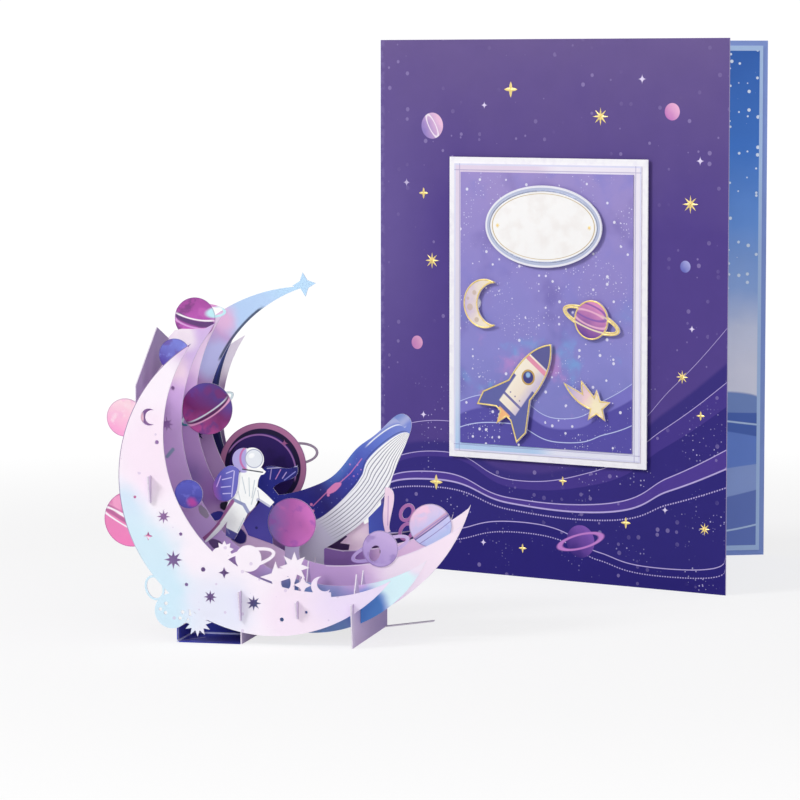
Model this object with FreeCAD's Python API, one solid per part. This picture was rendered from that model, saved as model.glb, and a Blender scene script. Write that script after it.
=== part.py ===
"""Pop up card: a folded greeting card standing ajar, and its moon shaped pop up of slotted paper.

Millimetres, +Z up, everything stands on the plane Z = 0. X runs along the sheets of the pop up
and down the middle of the card's opening, Y runs away from the viewer. The origin lies under the
middle of the whole arrangement. Each flat piece is drawn as a face in an upright plane and then
given its sheet thickness.
"""
import FreeCAD, Part
import math
import os
from FreeCAD import Vector

# Sheets and foam
POP_PAPER = 0.4
COVER_PAPER = 0.5
LINER_PAPER = 0.3
MAT_BOARD = 0.5
FOAM = 1.2
SLOT_CLEARANCE = 0.1

# The folded card
CARD_WIDTH = 155.0
CARD_HEIGHT = 205.0
CARD_OPENING = 44.6
SPINE_X = -47.0
SPINE_Y = 77.2
LINER_MARGIN = 2.0

# The framed picture on the cover, centred on it
MAT_WIDTH = 88.5
MAT_HEIGHT = 115.5
MAT_RIM = 2.5
BORDER_RIM = 3.2
FOAM_INSET = 5.0
PLAQUE_RAISE = 32.0
PLAQUE_WIDTH = 52.0
PLAQUE_HEIGHT = 31.0
PLAQUE_FOAM_INSET = 4.0

# Raised pieces on the picture: place from the picture's middle, and sizes
BADGE_MOON_AT = (-26.5, 2.0)
BADGE_MOON_RADIUS = 9.5
BADGE_MOON_BITE_RADIUS = 8.0
BADGE_MOON_BITE_SHIFT = 5.0
BADGE_ROCKET_AT = (-8.5, -28.0)
BADGE_ROCKET_LENGTH = 40.0
BADGE_ROCKET_WIDTH = 13.0
BADGE_ROCKET_FIN_SPAN = 25.0
BADGE_ROCKET_LEAN = -38.0
BADGE_PLANET_AT = (21.5, -2.5)
BADGE_PLANET_RADIUS = 7.5
BADGE_COMET_AT = (24.0, -35.0)
BADGE_COMET_RADIUS = 6.5
BADGE_COMET_TAIL = 17.0
BADGE_FOAM_INSET = 2.5

# The pop up's six crescents: distance between sheets and the height of the lowest edge
FRONT_Y = -132.7
SHEET_STEP = 10.0
CRESCENT_LIFT = 3.2
HORN_STAR_RADIUS = 4.2
HORN_STAR_WAIST = 1.9

# The narrow ribs that the crescents are slotted on
TAB_REACH = 3.5
TAB_SLOPE = 2.4
REAR_TAB = 1.5
WAIST_RIB_X = -80.3
WAIST_RIB_LOW = 47.4
WAIST_RIB_HIGH = 56.6
LEFT_RIB_X = -48.9
LEFT_TAB_LOW = 8.2
LEFT_TAB_HIGH = 18.2
LEFT_LAP = 11.0
LEFT_GABLE = 20.0
MIDDLE_RIB_X = -29.1
MIDDLE_RIB_LOW = 6.2
MIDDLE_TAB_LOW = 9.4
MIDDLE_TAB_HIGH = 15.3
MIDDLE_LAP = 12.0
MIDDLE_GABLE = 27.0
FOOT_RIB_X = -10.0
FOOT_TAB_HIGH = 15.0
FOOT_LAP = 14.0
FOOT_GABLE = 24.4
VALLEY_RISE = 2.0
SHOULDER_RIB_X = -85.6
SHOULDER_LOW = 74.0
SHOULDER_LAP = 78.0
SHOULDER_FRONT_HIGH = 87.0
SHOULDER_PEAK = 105.0
SHOULDER_BACK_HIGH = 100.0
SHOULDER_PEAK_BACK = 27.0

# The folded tray on the table at the left, and the strip behind the foot
TRAY_LEFT_X = -71.2
TRAY_DEPTH = 18.6
TRAY_WALL = 5.0
STRIP_REACH = 14.0
STRIP_RUN = 16.0
STRIP_WIDTH = 2.0

# Planets: radii of the discs
PLANET_RADII = {
    "planet_plum_ringed": 7.1,
    "planet_indigo": 5.5,
    "planet_pale_pink": 6.5,
    "planet_pink_banded": 9.5,
    "planet_violet_ringed": 8.9,
    "planet_blue_small": 4.9,
    "planet_dark_large": 15.6,
    "planet_rose": 8.4,
    "planet_lilac_cutwork": 6.2,
    "planet_pastel": 7.4,
}
RING_LINE = 0.9
STEM_WIDTH = 5.0


class Circle:
    """A circle in an upright plane, from its middle and radius."""

    def __init__(self, x, z, radius):
        self.x = x
        self.z = z
        self.radius = radius

    def at(self, angle, beyond=0.0):
        """The point at this angle in degrees, this far beyond the circle."""
        turn = math.radians(angle)
        reach = self.radius + beyond
        return (self.x + reach * math.cos(turn), self.z + reach * math.sin(turn))


def standing(x, radius):
    """A circle whose lowest point lies at CRESCENT_LIFT."""
    return Circle(x, CRESCENT_LIFT + radius, radius)


class Crescent:
    """One moon shaped sheet: a standing outer circle, less an inner circle.

    A foot circle widens the lower right quarter of some sheets, and sill circles keep the lower
    part of some inner edges higher than the inner circle alone would.
    """

    def __init__(self, name, order, outer, inner, foot=None, sills=()):
        self.name = name
        self.front = FRONT_Y + order * SHEET_STEP
        self.back = self.front + POP_PAPER
        self.outer = outer
        self.inner = inner
        self.foot = foot
        self.sills = sills


CRESCENTS = [
    Crescent("crescent_1_front", 0, standing(-38.3, 53.0), Circle(-22.0, 70.5, 53.6)),
    Crescent("crescent_2_lilac", 1, standing(-36.3, 55.0), Circle(-17.5, 73.9, 54.4),
             foot=standing(-27.5, 45.1)),
    Crescent("crescent_3_violet", 2, standing(-34.3, 57.0), Circle(-15.0, 79.0, 54.7),
             foot=standing(-32.9, 62.0), sills=(Circle(-21.7, 100.0, 75.0),)),
    Crescent("crescent_4_star", 3, standing(-32.3, 58.2), Circle(-18.6, 71.6, 50.1),
             foot=standing(-32.3, 59.0), sills=(Circle(-14.3, 83.0, 54.4), Circle(-21.3, 101.4, 72.4))),
    Crescent("crescent_5_navy", 4, standing(-36.2, 55.0), Circle(-18.0, 77.5, 49.4),
             sills=(Circle(-15.0, 113.5, 80.0),)),
    Crescent("crescent_6_back", 5, standing(-35.5, 52.0), Circle(-20.0, 74.0, 48.3)),
]
FIRST, SECOND, THIRD, FOURTH, FIFTH, SIXTH = CRESCENTS
BACK_Y = SIXTH.back + REAR_TAB

# The flat shoulder that crescent 2 has under the plum planet
SHOULDER_CORNERS = [(-76.2, 103.0), (-74.1, 105.3), (-71.8, 105.8), (-61.2, 105.9), (-66.0, 99.0),
                    (-77.0, 94.5)]


# Faces in the upright plane Y = 0

def point(at):
    return Vector(at[0], 0, at[1])


def moved(points, at):
    return [(x + at[0], z + at[1]) for x, z in points]


def turned(points, angle):
    turn = math.radians(angle)
    cosine, sine = math.cos(turn), math.sin(turn)
    return [(x * cosine - z * sine, x * sine + z * cosine) for x, z in points]


def polygon(points):
    corners = [point(p) for p in points]
    return Part.Face(Part.makePolygon(corners + corners[:1]))


def rectangle(at, width, height):
    x, z = at
    return polygon([(x - width / 2, z - height / 2), (x + width / 2, z - height / 2),
                    (x + width / 2, z + height / 2), (x - width / 2, z + height / 2)])


def disc(at, radius):
    return Part.Face(Part.Wire(Part.makeCircle(radius, point(at), Vector(0, 1, 0))))


def ellipse(at, half_width, half_height, lean=0.0):
    """An oval face, turned anticlockwise by lean degrees."""
    wide, high = turned([(half_width, 0), (0, half_height)], lean)
    if half_height > half_width:
        wide, high = high, wide
    curve = Part.Ellipse(point(moved([wide], at)[0]), point(moved([high], at)[0]), point(at))
    return Part.Face(Part.Wire(curve.toShape()))


def ring(at, half_width, half_height, lean=0.0, line=RING_LINE):
    whole = ellipse(at, half_width, half_height, lean)
    return whole.cut(ellipse(at, half_width - line, half_height - line, lean))


def star(at, reach, waist, points, lean=90.0):
    """A star face: its points reach out, and the notches between them lie at the waist."""
    corners = []
    for index in range(2 * points):
        radius = waist if index % 2 else reach
        angle = math.radians(lean + 180.0 * index / points)
        corners.append((at[0] + radius * math.cos(angle), at[1] + radius * math.sin(angle)))
    return polygon(corners)


def outline(*runs):
    """A face inside runs of points that follow each other; a run of three or more is a curve."""
    edges = []
    start = runs[-1][-1]
    for run in runs:
        points = [point(start)] + [point(p) for p in run]
        if len(points) == 2:
            edges.append(Part.makeLine(points[0], points[1]))
        else:
            curve = Part.BSplineCurve()
            curve.interpolate(points)
            edges.append(curve.toShape())
        start = run[-1]
    return Part.Face(Part.Wire(edges))


def moon(at, radius, bite_radius, shift, lean):
    """A small crescent whose open side looks towards lean degrees."""
    bite = moved(turned([(shift, 0)], lean), at)[0]
    return disc(at, radius).cut(disc(bite, bite_radius))


# Solids from faces

def joined(shapes):
    whole = shapes[0]
    for shape in shapes[1:]:
        whole = whole.fuse(shape)
    return whole.removeSplitter()


def upright(shape, front, thickness):
    """Faces given their thickness, from the front plane backwards, as one sheet."""
    solid = joined([face.extrude(Vector(0, thickness, 0)) for face in shape.Faces])
    solid.translate(Vector(0, front, 0))
    return solid


def crosswise(points, x, thickness):
    """A sheet across the crescents: an outline of (y, z) points, from x to the right."""
    corners = [Vector(x, y, z) for y, z in points]
    face = Part.Face(Part.makePolygon(corners + corners[:1]))
    return face.extrude(Vector(thickness, 0, 0))


def block(x_low, x_high, y_low, y_high, z_low, z_high):
    corner = Vector(x_low, y_low, z_low)
    return Part.makeBox(x_high - x_low, y_high - y_low, z_high - z_low, corner)


def save(name, shape):
    shape.exportStep("parts/" + name + ".step")


# The card

def on_panel(shape, side):
    """From a panel's own plane to its place: side -1 is the cover, +1 the back page."""
    placed = shape.copy()
    placed.rotate(Vector(0, 0, 0), Vector(0, 0, 1), side * CARD_OPENING / 2)
    placed.translate(Vector(SPINE_X, SPINE_Y, 0))
    return placed


def panel(width, low, high, y_low, y_high):
    return block(0, width, y_low, y_high, low, high)


def folded_card():
    """Cover and back page of one sheet, with its rounded fold standing on the spine line."""
    cover = on_panel(panel(CARD_WIDTH, 0, CARD_HEIGHT, -COVER_PAPER, 0), -1)
    back = on_panel(panel(CARD_WIDTH, 0, CARD_HEIGHT, 0, COVER_PAPER), 1)
    fold = Part.makeCylinder(COVER_PAPER, CARD_HEIGHT, Vector(SPINE_X, SPINE_Y, 0))
    inside = liner_space()
    return joined([cover, back, fold]).cut(inside)


def liner_space():
    """The wedge between the two inner faces, which the fold leaves free."""
    half = math.radians(CARD_OPENING / 2)
    x = CARD_WIDTH * math.cos(half)
    y = CARD_WIDTH * math.sin(half)
    corners = [Vector(0, 0, 0), Vector(x, -y, 0), Vector(x, y, 0)]
    wedge = Part.Face(Part.makePolygon(corners + corners[:1])).extrude(Vector(0, 0, CARD_HEIGHT))
    wedge.translate(Vector(SPINE_X, SPINE_Y, 0))
    return wedge


def folded_liner():
    """The thinner printed sheet glued inside, with an even margin at its free edges."""
    width = CARD_WIDTH - LINER_MARGIN
    low = LINER_MARGIN
    high = CARD_HEIGHT - LINER_MARGIN
    front = on_panel(panel(width, low, high, 0, LINER_PAPER), -1)
    back = on_panel(panel(width, low, high, -LINER_PAPER, 0), 1)
    return joined([front, back]).common(liner_space())


class CoverStack:
    """Layers laid one on another on the cover's outer face."""

    def __init__(self):
        self.lift = COVER_PAPER

    def lay(self, name, face, thickness):
        self.lift += thickness
        save(name, on_panel(upright(face, -self.lift, thickness), -1))


def badge_moon(at, shrink):
    if shrink:
        belly = moved([(-BADGE_MOON_BITE_SHIFT, 0)], at)[0]
        return disc(belly, BADGE_FOAM_INSET)
    return moon(at, BADGE_MOON_RADIUS, BADGE_MOON_BITE_RADIUS, BADGE_MOON_BITE_SHIFT, 0)


def badge_rocket(at, shrink):
    """A pointed body with swept fins, leaning; the foam is a bar under the body."""
    half = BADGE_ROCKET_WIDTH / 2
    nose = BADGE_ROCKET_LENGTH / 2
    tail = -nose
    if shrink:
        bar = [(-half, tail), (half, tail), (half, 0), (-half, 0)]
        inset = [(x - math.copysign(BADGE_FOAM_INSET, x), z) for x, z in bar]
        return polygon(moved(turned(moved(inset, (0, half)), BADGE_ROCKET_LEAN), at))
    fin = BADGE_ROCKET_FIN_SPAN / 2
    place = lambda points: moved(turned(points, BADGE_ROCKET_LEAN), at)
    body = outline(place([(half * 0.75, nose * 0.62), (half, nose * 0.1), (half * 0.7, tail * 0.75)]),
                   place([(-half * 0.7, tail * 0.75)]),
                   place([(-half, nose * 0.1), (-half * 0.75, nose * 0.62), (0, nose)]))
    fins = polygon(place([(half * 0.8, tail * 0.05), (fin, tail * 0.7), (fin * 0.92, tail),
                          (half * 0.5, tail * 0.72), (-half * 0.5, tail * 0.72), (-fin * 0.92, tail),
                          (-fin, tail * 0.7), (-half * 0.8, tail * 0.05)]))
    flame = polygon(place([(half * 0.45, tail * 0.6), (0, tail), (-half * 0.45, tail * 0.6)]))
    return joined([body, fins, flame])


def badge_planet(at, shrink):
    if shrink:
        return disc(at, BADGE_PLANET_RADIUS - BADGE_FOAM_INSET)
    wide = BADGE_PLANET_RADIUS * 1.75
    return joined([disc(at, BADGE_PLANET_RADIUS), ring(at, wide, wide * 0.32, -18, 2 * RING_LINE)])


def badge_comet(at, shrink):
    """A five pointed star with two curved tails sweeping up to the left."""
    if shrink:
        return disc(at, BADGE_FOAM_INSET)
    reach = BADGE_COMET_RADIUS
    tails = []
    for lean, length in ((150, BADGE_COMET_TAIL), (125, BADGE_COMET_TAIL * 0.7)):
        tails.append(outline(moved(turned([(length * 0.5, reach * 0.45), (length, 0)], lean), at),
                             moved(turned([(length * 0.5, -reach * 0.15), (0, -reach * 0.3)], lean), at),
                             moved(turned([(0, reach * 0.3)], lean), at)))
    return joined([star(at, reach, reach * 0.45, 5)] + tails)


def make_card():
    save("card_folder", folded_card())
    save("inner_liner", folded_liner())
    middle = (CARD_WIDTH / 2, CARD_HEIGHT / 2)
    stack = CoverStack()
    border = (MAT_WIDTH - 2 * MAT_RIM, MAT_HEIGHT - 2 * MAT_RIM)
    picture = (border[0] - 2 * BORDER_RIM, border[1] - 2 * BORDER_RIM)
    foam = rectangle(middle, MAT_WIDTH - 2 * FOAM_INSET, MAT_HEIGHT - 2 * FOAM_INSET)
    stack.lay("mat_foam", foam, FOAM)
    stack.lay("white_mat", rectangle(middle, MAT_WIDTH, MAT_HEIGHT), MAT_BOARD)
    stack.lay("border_mat", rectangle(middle, border[0], border[1]), MAT_BOARD)
    stack.lay("picture_board", rectangle(middle, picture[0], picture[1]), MAT_BOARD)
    ground = stack.lift
    plaque_at = (middle[0], middle[1] + PLAQUE_RAISE)
    wide = PLAQUE_WIDTH / 2
    high = PLAQUE_HEIGHT / 2
    inset = PLAQUE_FOAM_INSET
    pieces = [("plaque", ellipse(plaque_at, wide - inset, high - inset), ellipse(plaque_at, wide, high))]
    for name, shape, offset in (("badge_moon", badge_moon, BADGE_MOON_AT),
                                ("badge_rocket", badge_rocket, BADGE_ROCKET_AT),
                                ("badge_planet", badge_planet, BADGE_PLANET_AT),
                                ("badge_comet", badge_comet, BADGE_COMET_AT)):
        at = (middle[0] + offset[0], middle[1] + offset[1])
        pieces.append((name, shape(at, True), shape(at, False)))
    for name, pad, plate in pieces:
        stack.lift = ground
        stack.lay(name + "_foam", pad, FOAM)
        stack.lay(name, plate, MAT_BOARD)


# The pop up's ribs

def gabled(x, low, low_front, tab_low, tab_high, lap, gable):
    """A rib across all six crescents.

    Its tab reaches through the front crescent, its top rises to a gable between each pair of
    sheets, and every other crescent drops into a notch down to the lap height.
    """
    valley = lap + VALLEY_RISE
    tip = FRONT_Y - TAB_REACH
    points = [(low_front, low)]
    if tab_low > low:
        points += [(FIRST.back, low), (FIRST.back, tab_low)]
    points += [(tip + TAB_SLOPE, max(tab_low, low)), (tip, tab_high), (FIRST.back, tab_high)]
    for before, after in zip(CRESCENTS, CRESCENTS[1:]):
        middle = (before.back + after.front) / 2
        start = tab_high if before is FIRST else valley
        if before is not FIRST:
            points.append((before.back, start))
        points.append((middle, gable))
        points.append((after.front, valley))
    points += [(SIXTH.back, valley), (BACK_Y, lap), (BACK_Y, low)]
    unique = [p for index, p in enumerate(points) if p != points[index - 1]]
    sheet = crosswise(unique, x, POP_PAPER)
    for crescent in CRESCENTS[1:]:
        sheet = sheet.cut(block(x, x + POP_PAPER, crescent.front - SLOT_CLEARANCE,
                                crescent.back + SLOT_CLEARANCE, lap, gable))
    return sheet


def left_rib():
    return gabled(LEFT_RIB_X, 0, FIRST.back, LEFT_TAB_LOW, LEFT_TAB_HIGH, LEFT_LAP, LEFT_GABLE)


def middle_rib():
    return gabled(MIDDLE_RIB_X, MIDDLE_RIB_LOW, FIRST.back, MIDDLE_TAB_LOW, MIDDLE_TAB_HIGH,
                  MIDDLE_LAP, MIDDLE_GABLE)


def foot_rib():
    return gabled(FOOT_RIB_X, 0, FRONT_Y - TAB_REACH + TAB_SLOPE, 0, FOOT_TAB_HIGH, FOOT_LAP,
                  FOOT_GABLE)


def waist_rib():
    """A plain strip threaded through a closed slit in every crescent."""
    tip = FRONT_Y - TAB_REACH
    return crosswise([(tip + TAB_SLOPE, WAIST_RIB_LOW), (tip, WAIST_RIB_HIGH),
                      (BACK_Y, WAIST_RIB_HIGH), (BACK_Y, WAIST_RIB_LOW)], WAIST_RIB_X, POP_PAPER)


def shoulder_front():
    return FIRST.back + POP_PAPER + SLOT_CLEARANCE


def shoulder_rib():
    """The pointed sheet astride the upper left edges of the second to fifth crescents."""
    front = shoulder_front()
    peak = FRONT_Y + SHOULDER_PEAK_BACK
    back = FIFTH.back + REAR_TAB
    sheet = crosswise([(front, SHOULDER_LOW), (front, SHOULDER_FRONT_HIGH), (peak, SHOULDER_PEAK),
                       (back, SHOULDER_BACK_HIGH), (back, SHOULDER_LOW)], SHOULDER_RIB_X, POP_PAPER)
    for crescent in (SECOND, THIRD, FOURTH, FIFTH):
        sheet = sheet.cut(block(SHOULDER_RIB_X, SHOULDER_RIB_X + POP_PAPER,
                                crescent.front - SLOT_CLEARANCE, crescent.back + SLOT_CLEARANCE,
                                SHOULDER_LOW, SHOULDER_LAP))
    return sheet


def slot(x, front, back, z_low, z_high):
    """The opening for a rib that stands from x to the right."""
    return block(x - SLOT_CLEARANCE, x + POP_PAPER + SLOT_CLEARANCE, front, back, z_low, z_high)


def slots(crescent):
    """Everything that the ribs cut out of this crescent."""
    cuts = []

    def cut(x, z_low, z_high):
        cuts.append(slot(x, crescent.front, crescent.back, z_low, z_high))

    cut(WAIST_RIB_X, WAIST_RIB_LOW, WAIST_RIB_HIGH + SLOT_CLEARANCE)
    if crescent is FIRST:
        cut(LEFT_RIB_X, LEFT_TAB_LOW, LEFT_TAB_HIGH + SLOT_CLEARANCE)
        cut(MIDDLE_RIB_X, MIDDLE_TAB_LOW, MIDDLE_TAB_HIGH + SLOT_CLEARANCE)
        cut(FOOT_RIB_X, 0, FOOT_TAB_HIGH)
    else:
        cut(LEFT_RIB_X, 0, LEFT_LAP)
        cut(MIDDLE_RIB_X, 0, MIDDLE_LAP)
        cut(FOOT_RIB_X, 0, FOOT_LAP)
        if crescent is not SIXTH:
            cut(SHOULDER_RIB_X, SHOULDER_LAP, SHOULDER_PEAK)
    return cuts


# The crescents

def front_holes():
    """Stars, dots and a small moon punched in the front crescent, placed from its outer edge."""
    edge = FIRST.outer
    holes = [disc(edge.at(angle, -inset), radius) for angle, inset, radius in (
        (163.3, 11.8, 0.7), (188.4, 5.2, 0.5), (211.6, 16.3, 0.6), (232.9, 14.1, 0.8),
        (231.1, 6.3, 0.6), (274.7, 5.6, 0.7), (285.5, 6.8, 0.5))]
    holes += [star(edge.at(angle, -inset), reach, reach * 0.42, 8) for angle, inset, reach in (
        (199.8, 13.4, 2.4), (219.6, 9.0, 3.3), (242.5, 7.5, 2.4), (262.0, 10.6, 2.7))]
    holes += [star(edge.at(angle, -inset), reach, reach * 0.4, 4) for angle, inset, reach in (
        (205.3, 5.8, 1.6), (243.2, 17.2, 2.0))]
    holes.append(moon(edge.at(154.3, -6.2), 2.9, 2.4, 1.1, 0))
    return holes


def front_lace():
    """Cut work along the inner edge and at the lower left of the front crescent."""
    inner = FIRST.inner
    outer = FIRST.outer
    depth = 1.6
    band = disc((inner.x, inner.z), inner.radius + depth).cut(disc((inner.x, inner.z),
                                                                   inner.radius - depth))
    far = 2 * inner.radius
    sector = polygon([(inner.x, inner.z), Circle(inner.x, inner.z, far).at(227),
                      Circle(inner.x, inner.z, far).at(275)])
    planet_at = inner.at(239.8, -6.0)
    burst_at = inner.at(259.6, -9.2)
    pillar_at = inner.at(257.4, -3.4)
    lace = [band.common(sector),
            star(inner.at(230.1, -3.2), 3.3, 2.1, 9),
            disc(planet_at, 4.5),
            ring(planet_at, 9.6, 3.3, 14, 1.2),
            rectangle(pillar_at, 5.8, 9.6).cut(ellipse(pillar_at, 1.7, 2.5)),
            star(inner.at(252.9, -4.1), 5.4, 1.9, 4),
            star(burst_at, 5.2, 2.6, 8),
            star(inner.at(264.1, -3.7), 3.0, 1.4, 4),
            moon(inner.at(271.2, -3.7), 3.3, 2.6, 1.6, 35)]
    ball_at = outer.at(232.8, 4.1)
    ball = disc(ball_at, 6.0)
    for offset in ((3.8, -0.3), (2.9, -2.4), (-2.0, 2.5), (-4.0, 0.5), (-2.2, -0.7)):
        ball = ball.cut(disc(moved([offset], ball_at)[0], 0.6))
    corner = [ball,
              ring(outer.at(223.0, 2.4), 4.4, 3.4, 110, 0.8),
              star(outer.at(242.5, 2.3), 4.9, 2.9, 12)]
    return lace + corner


def filled(circle, beyond=0.0):
    return disc((circle.x, circle.z), circle.radius + beyond)


def lower_right(crescent):
    """The quarter of the foot circle right of and below the middle of the outer circle."""
    outer, foot = crescent.outer, crescent.foot
    right = foot.x + foot.radius
    quarter = rectangle(((outer.x + right) / 2, outer.z / 2), right - outer.x, outer.z)
    return filled(foot).common(quarter)


def crescent_face(crescent):
    inner = crescent.inner
    body, bite = filled(crescent.outer), filled(inner)
    if crescent.foot:
        body = joined([body, lower_right(crescent)])
    for sill in crescent.sills:
        bite = bite.common(filled(sill))
    face = body.cut(bite)
    if crescent is FIRST:
        face = joined([face] + front_lace())
        for hole in front_holes():
            face = face.cut(hole)
    if crescent is SECOND:
        face = joined([face, polygon(SHOULDER_CORNERS)])
        face = face.cut(disc(inner.at(168.5, 4.2), 0.7))
        face = face.cut(star(inner.at(180.7, 5.3), 2.6, 1.1, 8))
    if crescent is FOURTH:
        star_at = moved([(-0.9, 0.6)], upper_tip(crescent))[0]
        face = joined([face, star(star_at, HORN_STAR_RADIUS, HORN_STAR_WAIST, 4, 97)])
        face = face.cut(star(inner.at(183.7, 3.3), 2.8, 1.2, 8))
    return face


def upper_tip(crescent):
    """Where the two circles of a crescent cross at the top."""
    outer, inner = crescent.outer, crescent.inner
    across = math.hypot(inner.x - outer.x, inner.z - outer.z)
    along = (across ** 2 + outer.radius ** 2 - inner.radius ** 2) / (2 * across)
    rise = math.sqrt(outer.radius ** 2 - along ** 2)
    toward_x = (inner.x - outer.x) / across
    toward_z = (inner.z - outer.z) / across
    return (outer.x + along * toward_x - rise * toward_z, outer.z + along * toward_z + rise * toward_x)


def make_crescents():
    for crescent in CRESCENTS:
        sheet = upright(crescent_face(crescent), crescent.front, POP_PAPER)
        for opening in slots(crescent):
            sheet = sheet.cut(opening)
        save(crescent.name, sheet)


# Tray and strip on the table

def tray():
    """A shallow folded tray: floor, left wall and back wall, butted against the left rib."""
    left = TRAY_LEFT_X
    front = FIRST.back
    back = front + TRAY_DEPTH
    floor = block(left, LEFT_RIB_X, front, back, 0, POP_PAPER)
    side = block(left, left + POP_PAPER, front, back, 0, TRAY_WALL)
    rear = block(left, LEFT_RIB_X, back - POP_PAPER, back, 0, TRAY_WALL)
    return joined([floor, side, rear])


def table_strip():
    """The thin folded strip that runs from the foot's rear corner along the table."""
    x = FOOT_RIB_X + POP_PAPER
    y = SIXTH.front - STRIP_WIDTH
    corners = [Vector(x, y, 0), Vector(x + STRIP_REACH, y + STRIP_RUN, 0),
               Vector(x + STRIP_REACH, y + STRIP_RUN + STRIP_WIDTH, 0), Vector(x, y + STRIP_WIDTH, 0)]
    return Part.Face(Part.makePolygon(corners + corners[:1])).extrude(Vector(0, 0, POP_PAPER))


# Planets and figures glued on the crescents

def before(crescent, layers=1):
    """The front plane of a sheet glued on a crescent's front."""
    return crescent.front - layers * POP_PAPER


def planet(name, at):
    return disc(at, PLANET_RADII[name])


def rose_place():
    return THIRD.inner.at(242.4, -10.0)


def stem(crescent, at, width):
    """A strip from a piece straight down onto the crescent that carries it."""
    inner = crescent.inner
    reach = math.sqrt(inner.radius ** 2 - (at[0] - inner.x) ** 2)
    foot = inner.z - reach - width
    return rectangle((at[0], (at[1] + foot) / 2), width, at[1] - foot)


def make_planets():
    radii = PLANET_RADII
    behind_front = FIRST.back

    name = "planet_plum_ringed"
    at = SECOND.outer.at(121.0, 4.75)
    loop = moved([(2.2, 2.6)], at)[0]
    face = joined([planet(name, at), ring(loop, 8.7, 2.6, -2)])
    save(name, upright(face, SECOND.back, POP_PAPER))

    for name, angle, beyond in (("planet_indigo", 128.6, 0.1), ("planet_pale_pink", 158.5, 1.4),
                                ("planet_pink_banded", 196.6, -2.2)):
        face = planet(name, FIRST.outer.at(angle, beyond)).cut(filled(FIRST.inner, POP_PAPER))
        sheet = upright(face, behind_front, POP_PAPER)
        save(name, sheet.cut(slot(WAIST_RIB_X, behind_front, behind_front + POP_PAPER,
                                  WAIST_RIB_LOW - SLOT_CLEARANCE, WAIST_RIB_HIGH)))

    name = "planet_blue_small"
    save(name, upright(planet(name, FIRST.inner.at(203.9, -4.6)), behind_front, POP_PAPER))

    name = "planet_violet_ringed"
    at = THIRD.inner.at(181.3, -4.2)
    face = joined([planet(name, at), ring(at, radii[name] * 1.21, 3.0, 31)])
    save(name, upright(face, before(THIRD), POP_PAPER))

    name = "planet_dark_large"
    at = FIFTH.inner.at(213.1, -9.8)
    loop = moved([(12.6, 5.2)], at)[0]
    face = joined([planet(name, at), ring(loop, 7.3, 3.9, 5)])
    save(name, upright(face, before(FIFTH), POP_PAPER))

    name = "planet_rose"
    at = rose_place()
    face = joined([planet(name, at), stem(THIRD, at, STEM_WIDTH)])
    save(name, upright(face, before(THIRD), POP_PAPER))

    name = "planet_lilac_cutwork"
    at = THIRD.inner.at(282.0, -5.9)
    window = ellipse(moved([(-1.9, -1.6)], at)[0], 1.9, 2.8, -20)
    face = joined([planet(name, at), ring(at, radii[name] * 1.75, 3.2, 22, 1.3)])
    save(name, upright(face.cut(window), before(THIRD), POP_PAPER))

    name = "planet_pastel"
    at = FOURTH.inner.at(311.2, -6.0)
    lobes = [ring(moved([shift], at)[0], 3.4, 2.6, 60, 1.2) for shift in ((-8.2, 4.2), (-8.4, -2.2))]
    save(name, upright(joined([planet(name, at)] + lobes), before(FOURTH), POP_PAPER))


def whale_anchor():
    return FOURTH.inner.at(255)


def whale():
    """A humpback leaping to the right, its stem glued low on the fourth crescent."""
    place = lambda points: moved(points, whale_anchor())
    return outline(place([(-13.2, 34.3), (-10.0, 33.8), (-4.8, 34.9)]),
                   place([(-5.4, 31.0), (-9.3, 29.2), (-13.3, 26.7)]),
                   place([(-11.4, 24.4)]),
                   place([(-4.3, 25.9), (1.3, 27.9), (7.4, 31.1), (11.7, 35.5), (16.8, 41.6),
                          (22.0, 45.4), (27.6, 50.6), (32.2, 53.3), (34.6, 52.1), (35.4, 49.3),
                          (34.6, 46.1), (30.8, 36.9), (27.6, 27.4)]),
                   place([(24.2, 22.8), (19.9, 17.4), (14.5, 12.6), (4.6, 6.1)]),
                   place([(4.6, -3.3)]), place([(-4.4, -3.3)]), place([(-4.4, 5.2)]),
                   place([(-10.4, 15.6), (-14.3, 22.1), (-18.5, 27.6), (-17.8, 31.7), (-16.1, 34.0)]))


def whale_flipper():
    place = lambda points: moved(points, whale_anchor())
    near = outline(place([(28.2, 27.6), (28.9, 21.0), (28.2, 12.9)]), place([(26.4, 12.2)]),
                   place([(25.4, 17.0), (25.8, 22.8), (26.2, 28.0)]))
    far = polygon(place([(26.2, 23.4), (20.4, 17.4), (20.6, 11.8), (26.6, 12.4)]))
    return joined([near, far])


def astronaut_anchor():
    return SECOND.inner.at(219.7, -1.0)


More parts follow.
